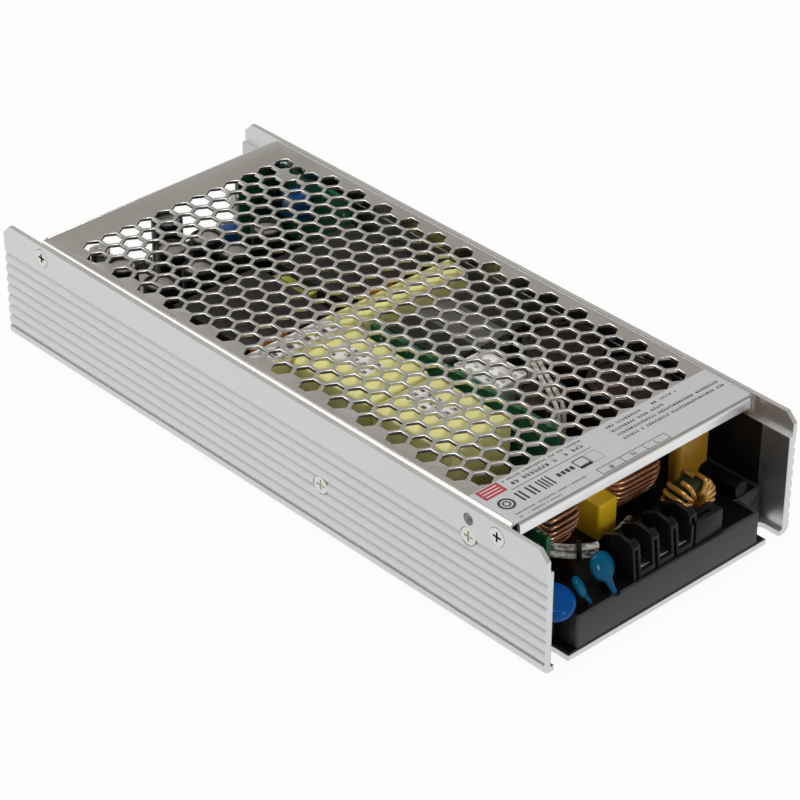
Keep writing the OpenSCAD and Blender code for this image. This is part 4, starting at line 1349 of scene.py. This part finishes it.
@dataclass
class RingChoke:
    """A wound ring choke: its wire replaces the plain turns of the solids."""

    wire_node: str
    core_node: str
    piece: str
    slot: str
    finish: Palette
    hole_r: float
    wire: float
    sections: tuple[tuple[float, float, float, int], ...]
    across: bool = True
    turn_steps: int = 32
    square: float = 0.42
    wander: float = 0.25 * MM
    clear: float = 0.05 * MM
    smooth_angle: float = 60.0

    def build(self, tree: GeometryTree) -> None:
        """Winds the wire round the core, in place.

        Args:
            tree: The tree of windings.
        """
        low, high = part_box(self.core_node)
        middle = (low + high) / 2
        size = high - low
        outer = size.z / 2
        thick = size.x if self.across else size.y
        parts = []
        for i, (start, sweep, turns, layer) in enumerate(self.sections):
            gap = self.wire * (layer + 0.5) + self.clear
            half_w = (outer - self.hole_r) / 2 + gap
            parts.append(tree.run(
                f"{self.piece}_{i}", Turns=turns, Steps=int(turns * self.turn_steps),
                Middle=(outer + self.hole_r) / 2,
                Half_Width=half_w, Half_Height=thick / 2 + gap, Wire=self.wire / 2,
                From=math.radians(start), Sweep=math.radians(sweep), Square=self.square,
                Wander=self.wander, Material=self.finish.material()))
        mesh = joined(self.piece, parts)
        turn = Matrix.Rotation(math.radians(90), 4, "Y" if self.across else "X")
        mesh.transform(Matrix.Translation(middle) @ turn)
        add_piece(self.piece, smooth(mesh, self.smooth_angle), self.finish, self.slot, (self.wire_node,))


CHOKES = (
    RingChoke("common_choke_wire", "common_choke_core", "common_winding", "enamel_yellow",
              Palette.WIRE_YELLOW, 3.6 * MM, 1.6 * MM,
              ((-72.0, 150.0, 8.0, 0), (114.0, 140.0, 7.0, 0)), across=False),
    RingChoke("left_choke_wire", "left_choke_core", "left_winding", "enamel_copper",
              Palette.WIRE_COPPER, 5.1 * MM, 1.25 * MM,
              ((352.0, -344.0, 28.0, 0), (350.0, -34.0, 3.0, 1))),
    RingChoke("right_choke_wire", "right_choke_core", "right_winding", "enamel_copper",
              Palette.WIRE_COPPER, 5.1 * MM, 1.25 * MM,
              ((8.0, 344.0, 36.0, 0), (232.0, 118.0, 13.0, 1))))


@dataclass
class DipDisc:
    """A dipped disc on two leads: a lens that runs down into a neck."""

    at: Vector
    radius: float
    thick: float
    lean: float
    turn: float
    foot_z: float
    neck: float = 0.9 * MM
    tip: float = 0.02 * MM
    shoulder: float = 0.55
    belly: float = 0.55
    neck_wide: Pair = (1.9, 0.9)
    neck_deep: Pair = (0.9, 0.15)
    levels: int = 26
    around: int = 24

    def add_to(self, work: Work) -> None:
        """Adds the disc and its neck, as rings along its own upright.

        Args:
            work: The working mesh.
        """
        upright, side = self._axes()
        facing = side.cross(upright)
        reach = (self.at.z - self.foot_z) / upright.z
        levels, around = self.levels, self.around
        turns = [FULL_TURN * k / around for k in range(around)]
        rings = []
        for i in range(levels + 1):
            v = self.radius - i / levels * (self.radius + reach)
            wide, deep = self._half(v, reach)
            middle = self.at + upright * v
            rings.append([work.verts.new(middle + side * (wide * math.cos(a)) + facing * (deep * math.sin(a)))
                          for a in turns])
        for lower, upper in zip(rings[1:], rings):
            for k in range(around):
                n = (k + 1) % around
                work.faces.new((lower[k], lower[n], upper[n], upper[k]))
        work.faces.new(list(rings[0]))
        work.faces.new(list(reversed(rings[-1])))

    def foot(self) -> Vector:
        """Where the neck enters the resin."""
        upright = self._axes()[0]
        return self.at - upright * ((self.at.z - self.foot_z) / upright.z)

    def _axes(self) -> tuple[Vector, Vector]:
        """The disc's own upright and its side direction.

        Returns:
            The upright and the side, as unit vectors.
        """
        lean = math.radians(self.lean)
        spin = Matrix.Rotation(math.radians(self.turn), 3, "Z")
        return spin @ Vector((0, math.sin(lean), math.cos(lean))), spin @ Vector((1, 0, 0))

    def _half(self, v: float, reach: float) -> Pair:
        """Half width and half thickness at a height along the disc's own upright.

        Args:
            v: The height, from the disc's middle.
            reach: How far below the middle the neck ends.

        Returns:
            Half width and half thickness.
        """
        r = self.radius
        round_w = math.sqrt(max(0.0, 1 - min(1.0, abs(v) / r) ** 2))
        wide = max(r * round_w, self.tip)
        deep = max(self.thick / 2 * round_w ** self.belly, self.tip)
        shoulder = self.shoulder * r
        if v < -shoulder:
            fall = min(1.0, (-shoulder - v) / max(reach - shoulder, MERGE))
            ease = fall * fall * (3 - 2 * fall)
            wide = max(wide, self.neck * (self.neck_wide[0] - self.neck_wide[1] * ease))
            deep = max(deep, self.neck * (self.neck_deep[0] - self.neck_deep[1] * ease))
        return wide, deep


@dataclass
class MainsDiscs:
    """The two small dipped discs at the mains end, and the resin that climbs round their leads."""

    discs: tuple[tuple[float, float, float, float, float, float, float], ...] = (
        (-21.4, -112.0, 19.2, 4.3, 3.4, 36.0, 4.0),
        (-31.6, -113.4, 18.0, 3.3, 2.8, 30.0, 52.0))
    collar: Pair = (1.25, 0.4)

    def build(self, beads: GeometryTree) -> None:
        """Builds the dipped shapes and the collars.

        Args:
            beads: The tree of resin beads.
        """
        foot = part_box("potting")[1].z
        work = bmesh.new()
        feet = []
        for x, y, z, r, t, lean, turn in self.discs:
            disc = DipDisc(Vector((x, y, z)) * MM, r * MM, t * MM, lean, turn, foot)
            disc.add_to(work)
            feet.append(disc.foot())
        bmesh.ops.recalc_face_normals(work, faces=work.faces)
        mesh = from_bmesh("small_discs", work)
        add_piece("small_discs", mesh, Palette.DISC_TEAL, "disc_teal", ("y_capacitors",))
        places = points_mesh("collar_places", feet)
        rings = beads.run("resin_collars", places, Radius=self.collar[0] * MM,
                          Bead=self.collar[1] * MM, Material=Palette.POTTING.material())
        add_piece("resin_collars", rings, Palette.POTTING, "potting_black")


@dataclass
class Lead:
    """A wire along a smooth path through given places, in millimetres."""

    name: str
    finish: Palette
    slot: str
    radius: float
    places: tuple[Triple, ...]
    closed: bool = False
    steps: int = 10
    smooth_angle: float = 60.0

    def build(self, tree: GeometryTree) -> None:
        """Builds the wire.

        Args:
            tree: The tree of round wires.
        """
        path = self._path()
        count = len(path)
        edges = [(i, (i + 1) % count) for i in range(count if self.closed else count - 1)]
        base = bpy.data.meshes.new(self.name + ".path")
        base.from_pydata([p * MM for p in path], edges, [])
        mesh = tree.run(self.name, base, Radius=self.radius * MM, Material=self.finish.material())
        add_piece(self.name, smooth(mesh, self.smooth_angle), self.finish, self.slot)

    def _path(self) -> list[Vector]:
        """Places on a curve that passes through every given place.

        Returns:
            The places, in millimetres.
        """
        given = [Vector(p) for p in self.places]
        count = len(given)
        path = []

        def near(i: int) -> Vector:
            """A given place by number, past the ends too."""
            return given[i % count] if self.closed else given[max(0, min(count - 1, i))]

        for i in range(count if self.closed else count - 1):
            a, b, c, d = (near(i + k) for k in (-1, 0, 1, 2))
            for k in range(self.steps):
                t = k / self.steps
                path.append(0.5 * (2 * b + (c - a) * t + (2 * a - 5 * b + 4 * c - d) * t ** 2
                                   + (3 * b - a - 3 * c + d) * t ** 3))
        return path if self.closed else path + [given[-1]]


@dataclass
class Wiring:
    """Loose leads: two across the middle, one behind the terminal block, and the sleeved pair's tie."""

    cross: tuple[Triple, ...] = (
        (17.6, -44.2, 20.0), (17.9, -44.6, 33.0), (16.9, -46.6, 37.2), (12.4, -54.5, 37.6),
        (8.9, -61.6, 37.2), (7.8, -65.6, 33.0), (7.6, -65.8, 20.0))
    cross_step: float = 2.3
    cross_r: float = 0.75
    behind: tuple[Triple, ...] = (
        (-10.4, -103.1, 13.2), (-9.6, -103.0, 16.6), (-7.4, -102.6, 18.0), (-3.0, -101.6, 18.0),
        (1.6, -100.2, 17.9), (3.4, -99.2, 16.2), (3.8, -98.8, 13.2))
    behind_r: float = 0.8
    lead_bend: float = 18.9
    lead_r: float = 1.0
    tie_angle: float = 233.0
    tie_half: Pair = (1.35, 2.65)
    tie_loop: tuple[Pair, ...] = (
        (-1, -0.6), (-1, 0.6), (-0.5, 1), (0.5, 1), (1, 0.6), (1, -0.6), (0.5, -1), (-0.5, -1))
    tie_r: float = 0.75

    def build(self, tree: GeometryTree) -> None:
        """Builds the leads and the tie.

        Args:
            tree: The tree of round wires.
        """
        for i in range(2):
            shifted = tuple((x + i * self.cross_step, y, z) for x, y, z in self.cross)
            Lead(f"cross_lead_{i}", Palette.WIRE_WHITE, "sleeve_white", self.cross_r, shifted).build(tree)
        Lead("block_lead", Palette.SLEEVE_BAND, "sleeve_white", self.behind_r, self.behind).build(tree)
        Lead("lead_tie", Palette.TIE, "film_black", self.tie_r, self._tie(), closed=True).build(tree)

    def _tie(self) -> tuple[tuple[float, ...], ...]:
        """The tie's loop round the sleeved pair, at an angle along their bend.

        Returns:
            The loop's places, in millimetres.
        """
        low, high = (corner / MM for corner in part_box("sleeved_leads"))
        middle = Vector((low.x + self.lead_bend + self.lead_r, high.y, (low.z + high.z) / 2))
        a = math.radians(self.tie_angle)
        out = Vector((math.cos(a), math.sin(a), 0.0))
        spot = middle + out * self.lead_bend
        w, h = self.tie_half
        return tuple(tuple(spot + out * (w * x) + Vector((0, 0, h * z))) for x, z in self.tie_loop)


@dataclass
class Rounding:
    """Solids that get softly rounded edges, with the width of each rounding in millimetres."""

    widths: dict[str, float] = field(default_factory=lambda: {
        "input_block": 0.18, "potting_tray": 0.25, "tray_nose": 0.25, "x_capacitor_front": 0.5,
        "x_capacitor_rear": 2.3, "boost_inductors": 0.9, "isolation_bar": 0.7, "relay": 0.5,
        "transformer_cores": 0.35, "resonant_core": 0.3, "bridge_rectifier": 0.3,
        "input_screws": 0.15, "input_clamps": 0.15, "cover_screws": 0.1, "wall_screws": 0.25,
        "bridge_screw": 0.25, "transformer_tape": 0.7, "output_screws": 0.25, "output_base": 0.3,
        "output_bars": 0.25, "film_capacitor": 0.5, "trimmer": 0.3, "signal_header": 0.2,
        "left_transistors": 0.25, "right_transistors": 0.25, "bulk_sleeves": 0.3,
        "output_sleeves": 0.25})
    recess: Triple = (0.2, 0.7, 1.75)

    def build(self, nodes: dict[str, bpy.types.Object], slots: dict[str, str]) -> None:
        """Replaces each solid by its rounded copy.

        Args:
            nodes: The solids' objects by name.
            slots: The record's slots by node.
        """
        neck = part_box("tray_nose")[1].y
        for node, width in self.widths.items():
            seam = neck if "tray" in node else None
            mesh = rounded_copy(nodes[node], node + "_soft", width * MM, seam)
            piece = add_piece(node + "_soft", mesh, NODE_FINISH[node], slots[node], (node,))
            if node == "cover_screws":
                # painted shade in the screws' cross recesses
                self._shade_recesses(piece.data)

    def _shade_recesses(self, mesh: Mesh) -> None:
        """Paints shade into the cross recesses in the cover screws' heads, with the near-black package
        material.

        Args:
            mesh: The rounded screws.
        """
        low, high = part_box("cover_screws")
        # painted shade: the recess faces take the near-black package material
        mesh.materials.append(Palette.BRIDGE.material())
        middle_y, middle_z = high.y - (high.z - low.z) / 2, (high.z + low.z) / 2
        for face in mesh.polygons:
            depth = high.x - abs(face.center.x)
            reach = math.hypot(abs(face.center.y) - middle_y, face.center.z - middle_z)
            if self.recess[0] * MM < depth < self.recess[1] * MM and reach < self.recess[2] * MM:
                face.material_index = 1


@dataclass
class PunchedCover:
    """The cover sheet with rolled upper edges on its holes and sheared walls inside them."""

    node: str = "top_cover"
    roll: float = 0.2
    least_edge: float = 1.0
    upright: float = 0.2
    steps: int = 3

    def build(self, solid: bpy.types.Object, slot: str) -> None:
        """Replaces the plain sheet by one with rolled holes.

        Args:
            solid: The plain sheet's object.
            slot: The record's slot.
        """
        work = working_copy(solid)
        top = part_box(self.node)[1].z - NEAR
        upright = [f for f in work.faces if abs(f.normal.z) < self.upright]
        walls = [f for f in upright if max(v.co.z for v in f.verts) > top]
        for wall in walls:
            wall.material_index = 1
        rims = {e for wall in walls for e in wall.edges if all(v.co.z > top for v in e.verts)}
        long_rims = [e for e in rims if e.calc_length() > self.least_edge * MM]
        round_edges(work, long_rims, self.roll * MM, self.steps,
                    clamp_overlap=False, loop_slide=True, material=0)
        split_large(work)
        mesh = from_bmesh(self.node + "_soft", work)
        for finish in (Palette.COVER, Palette.PUNCHED):
            mesh.materials.append(finish.material())
        add_piece(self.node + "_soft", mesh, None, slot, (self.node,))


@dataclass
class Stickers:
    """White stickers on the taped parts, with lines of grey marks.

    Their sizes are in millimetres.
    """

    boost_low: Pair = (-22.9, -18.0)
    boost_size: Pair = (7.8, 17.8)
    second_step: float = -31.8
    bar_low: Pair = (-42.0, 4.6)
    bar_size: Pair = (31.0, 8.0)
    thick: float = 0.08
    corner: float = 0.4
    print_lift: float = 0.02
    boost_rows: int = 5
    boost_row: float = 3.3
    boost_first: float = 2.2
    boost_inset: float = 1.0
    boost_mark: float = 2.3
    boost_seeds: tuple[int, int] = (31, 40)
    bar_insets: Pair = (6.0, 2.0)
    bar_mark: float = 4.6
    bar_pitch: float = 0.62
    bar_seed: int = 71
    relay_rows: int = 5
    relay_inset: float = 1.6
    relay_mark: float = 2.2
    relay_share: float = 0.7
    relay_seed: int = 83

    def build(self, tree: GeometryTree) -> None:
        """Builds the stickers and their print.

        Args:
            tree: The tree of print marks.
        """
        work = bmesh.new()
        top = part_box("boost_inductors")[1].z
        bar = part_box("isolation_bar")[1].z
        lines = []
        x = self.boost_low[0]
        left, right = x + self.boost_inset, x + self.boost_size[0] - self.boost_inset
        for i, seed in enumerate(self.boost_seeds):
            y = self.boost_low[1] + i * self.second_step
            self._sticker(work, (x, y), self.boost_size, top)
            for k in range(self.boost_rows):
                row = y + self.boost_first + k * self.boost_row
                lines.append((PrintLine(left, right, row, self.boost_mark, seed + k), top))
        self._sticker(work, self.bar_low, self.bar_size, bar)
        x, y = self.bar_low
        left, right = x + self.bar_insets[0], x + self.bar_size[0] - self.bar_insets[1]
        row = y + self.bar_size[1] / 2
        lines.append((PrintLine(left, right, row, self.bar_mark, self.bar_seed, pitch=self.bar_pitch), bar))
        add_piece("part_stickers", from_bmesh("part_stickers", work), Palette.STICKER, "relay_white")
        lift = (self.thick + self.print_lift) * MM
        marks = [line.mesh(tree, f"sticker_line_{i}", z + lift, Palette.INK_PALE)
                 for i, (line, z) in enumerate(lines)]
        add_piece("sticker_print", joined("sticker_print", marks), Palette.INK_PALE, "block_black")
        self._relay_print(tree)

    def _sticker(self, work: Work, low: Pair,
                 size: Pair, z: float) -> None:
        """Adds one sticker, given in millimetres."""
        high = ((low[0] + size[0]) * MM, (low[1] + size[1]) * MM)
        Sheet((low[0] * MM, low[1] * MM), high, z, self.thick * MM, self.corner * MM).add_to(work)

    def _relay_print(self, tree: GeometryTree) -> None:
        """Soft grey marks on the relay's top.

        Args:
            tree: The tree of print marks.
        """
        low, high = (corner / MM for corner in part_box("relay"))
        step = (high.y - low.y) / self.relay_rows
        left, right = low.x + self.relay_inset, high.x - self.relay_inset
        marks = []
        for k in range(self.relay_rows):
            row = low.y + step * (k + 0.5)
            line = PrintLine(left, right, row, self.relay_mark, self.relay_seed + k, self.relay_share)
            marks.append(line.mesh(tree, f"relay_line_{k}", (high.z + self.thick) * MM, Palette.INK_SOFT))
        add_piece("relay_print", joined("relay_print", marks), Palette.INK_SOFT, "relay_white")


@dataclass
class WindingEdges:
    """The foil ends in front of the transformers and the taped crests that stand between them."""

    foils: tuple[Pair, ...] = ((-37.2, -22.8), (5.4, 19.6))
    foil_y: Pair = (16.1, 16.6)
    foil_top: float = 37.5
    crests: tuple[Pair, ...] = ((-4.3, -1.5), (-1.1, 1.7))
    crest_y: Pair = (30.6, 46.8)
    crest_top: float = 33.8
    soft: float = 0.15

    def build(self) -> None:
        """Builds the foil ends and the crests on the solids below them."""
        foil_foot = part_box("transformer_foils")[1].z
        crest_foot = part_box("transformer_tape")[1].z
        self._strips("foil_ends", self.foils, self.foil_y, (foil_foot, self.foil_top * MM),
                     Palette.COPPER_STRIP, "foil_copper")
        self._strips("tape_crests", self.crests, self.crest_y, (crest_foot, self.crest_top * MM),
                     Palette.TAPE_OLIVE, "tape_olive")

    def _strips(self, name: str, spans: Sequence[Pair], along: Pair,
                heights: Pair, finish: Palette, slot: str) -> None:
        """Adds upright strips as one piece with softened edges.

        Args:
            name: The piece's name.
            spans: Each strip's two sides along X, in millimetres.
            along: The strips' ends along Y, in millimetres.
            heights: Their foot and top, in metres.
            finish: Their finish.
            slot: The record's slot.
        """
        work = bmesh.new()
        foot, top = heights
        for x0, x1 in spans:
            size = Vector(((x1 - x0) * MM, (along[1] - along[0]) * MM, top - foot))
            middle = Vector(((x0 + x1) / 2 * MM, sum(along) / 2 * MM, (foot + top) / 2))
            bmesh.ops.create_cube(work, size=1.0, matrix=Matrix.LocRotScale(middle, None, size))
        round_edges(work, list(work.edges), self.soft * MM)
        add_piece(name, from_bmesh(name, work), finish, slot)


@dataclass
class Studio:
    """Floor, light and camera."""

    azimuth: float = -43.147
    elevation: float = 33.085
    roll: float = 0.336
    focal_px: float = 3149.998
    offset_mm: Triple = (-5.586, -8.481, -951.525)
    frame_px: float = 800.0
    sensor_mm: float = 36.0
    zenith: Colour = (0.285, 0.262, 0.224)
    horizon: Colour = (0.86, 0.86, 0.86)
    horizon_end: float = 0.12
    zenith_start: float = 0.45
    floor_half: float = 8.0
    floor_shades: tuple[Colour, Colour] = ((0.86, 0.86, 0.86), (0.9, 0.9, 0.9))
    floor_glow: float = 0.93
    floor_noise: float = 3.0
    floor_roughness: float = 0.9
    clip: Pair = (0.05, 50.0)
    lamps: tuple[tuple[str, Triple, float, float], ...] = (
        ("key", (0.2, -1.5, 0.85), 0.35, 4.5), ("overhead", (0.0, 0.3, 1.6), 1.0, 15.0),
        ("edge", (-0.9, 1.0, 1.0), 1.1, 4.4))

    def build(self) -> None:
        """Builds everything around the part."""
        self._floor()
        self._world()
        for lamp in self.lamps:
            self._lamp(*lamp)
        self._camera()

    def _floor(self) -> None:
        """A white floor that keeps the part's shadow."""
        work = bmesh.new()
        bmesh.ops.create_grid(work, x_segments=2, y_segments=2, size=self.floor_half)
        mesh = from_bmesh("floor", work)
        material, graph, main = new_material("floor_white")
        path = graph.node("ShaderNodeLightPath", out="Is Camera Ray")
        shown = path
        for ray in ("Is Glossy Ray", "Is Transmission Ray"):
            shown = shown.math("MAXIMUM", path.other(ray))
        graph.feed(main.inputs["Base Color"], graph.blend(graph.noise(self.floor_noise), *self.floor_shades))
        main.inputs["Roughness"].default_value = self.floor_roughness
        main.inputs["Specular IOR Level"].default_value = 0.0
        glow = graph.node("ShaderNodeEmission", inputs={"Color": (1.0, 1.0, 1.0), "Strength": 1.0})
        mixed = graph.node("ShaderNodeMixShader", inputs={
            0: shown * self.floor_glow, 1: Value(graph, main.outputs[0]), 2: glow})
        output = material.node_tree.nodes["Material Output"]
        graph.feed(output.inputs["Surface"], mixed)
        mesh.materials.append(material)
        floor = add_object("floor", mesh)
        floor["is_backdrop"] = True

    def _world(self) -> None:
        """A surround that is pale at the horizon and grey overhead."""
        world = bpy.data.worlds.new("studio")
        world.use_nodes = True
        sky = world.node_tree.nodes["Background"]
        graph = Graph(world.node_tree)
        look = graph.node("ShaderNodeTexCoord", out="Generated")
        height = graph.node("ShaderNodeSeparateXYZ", inputs={0: look}, out=2)
        stops = [(self.horizon_end, self.horizon), (self.zenith_start, self.zenith)]
        graph.feed(sky.inputs["Color"], graph.node("ShaderNodeValToRGB", {"stops": stops}, {0: height}))
        sky.inputs["Strength"].default_value = 1.0
        bpy.context.scene.world = world

    @staticmethod
    def _lamp(name: str, at: Sequence[float], size: float, power: float) -> None:
        """A square soft light that points at the part.

        Args:
            name: The lamp's name.
            at: Its place, in metres.
            size: The side of its square, in metres.
            power: Its power, in watts.
        """
        data = bpy.data.lights.new(name, "AREA")
        data.size = size
        data.energy = power
        lamp = add_object(name, data)
        lamp.location = at
        lamp.rotation_euler = (-Vector(at)).to_track_quat("-Z", "Y").to_euler()

    def _camera(self) -> None:
        """The camera at the photograph's angle."""
        a, e, r = (math.radians(x) for x in (self.azimuth, self.elevation, self.roll))
        back = Vector((math.sin(a) * math.cos(e), -math.cos(a) * math.cos(e), math.sin(e)))
        right = Vector((math.cos(a), math.sin(a), 0.0))
        up = back.cross(right)
        right, up = right * math.cos(r) + up * math.sin(r), up * math.cos(r) - right * math.sin(r)
        turn = Matrix((right, up, back)).transposed()
        data = bpy.data.cameras.new("camera")
        data.sensor_width = self.sensor_mm
        data.lens = self.focal_px * self.sensor_mm / self.frame_px
        data.clip_start, data.clip_end = self.clip
        camera = add_object("camera", data)
        camera.matrix_world = Matrix.Translation(-(turn @ Vector(self.offset_mm)) * MM) @ turn.to_4x4()
        bpy.context.scene.camera = camera


class PowerSupply:
    """The whole part: its solids, their finishes and the pieces that are added."""

    def __init__(self) -> None:
        """Loads the solids."""
        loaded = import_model()
        self.nodes: dict[str, bpy.types.Object] = loaded["nodes"]
        self.slots = {s["node"]: s["material_slot"] for s in loaded["record"]["subparts"]}
        self.solid_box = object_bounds()

    def build(self) -> None:
        """Builds every sub-assembly in order."""
        self._dress()
        Rounding().build(self.nodes, self.slots)
        PunchedCover().build(self.nodes["top_cover"], self.slots["top_cover"])
        winding, marks = winding_tree(), print_tree()
        for choke in CHOKES:
            choke.build(winding)
        MainsDiscs().build(ring_tree())
        Wiring().build(tube_tree())
        Label().build(marks)
        Stickers().build(marks)
        WindingEdges().build()

    def _dress(self) -> None:
        """Gives every solid its finish."""
        for name, solid in self.nodes.items():
            material = NODE_FINISH[name].material()
            if not solid.material_slots:
                solid.data.materials.append(material)
            for slot in solid.material_slots:
                slot.material = material

    def write_size(self) -> None:
        """Gathers the solids' box and the dressed part's box."""
        boxes = {"cad": [list(c) for c in self.solid_box], "visual": [list(c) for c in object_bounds()]}


def main() -> None:
    """Builds the part and the studio around it."""
    logging.basicConfig(level=logging.INFO, format="%(name)s: %(message)s")
    part = PowerSupply()
    part.build()
    Studio().build()
    bpy.context.scene.view_settings.view_transform = "Standard"
    part.write_size()


if __name__ == "__main__":
    main()
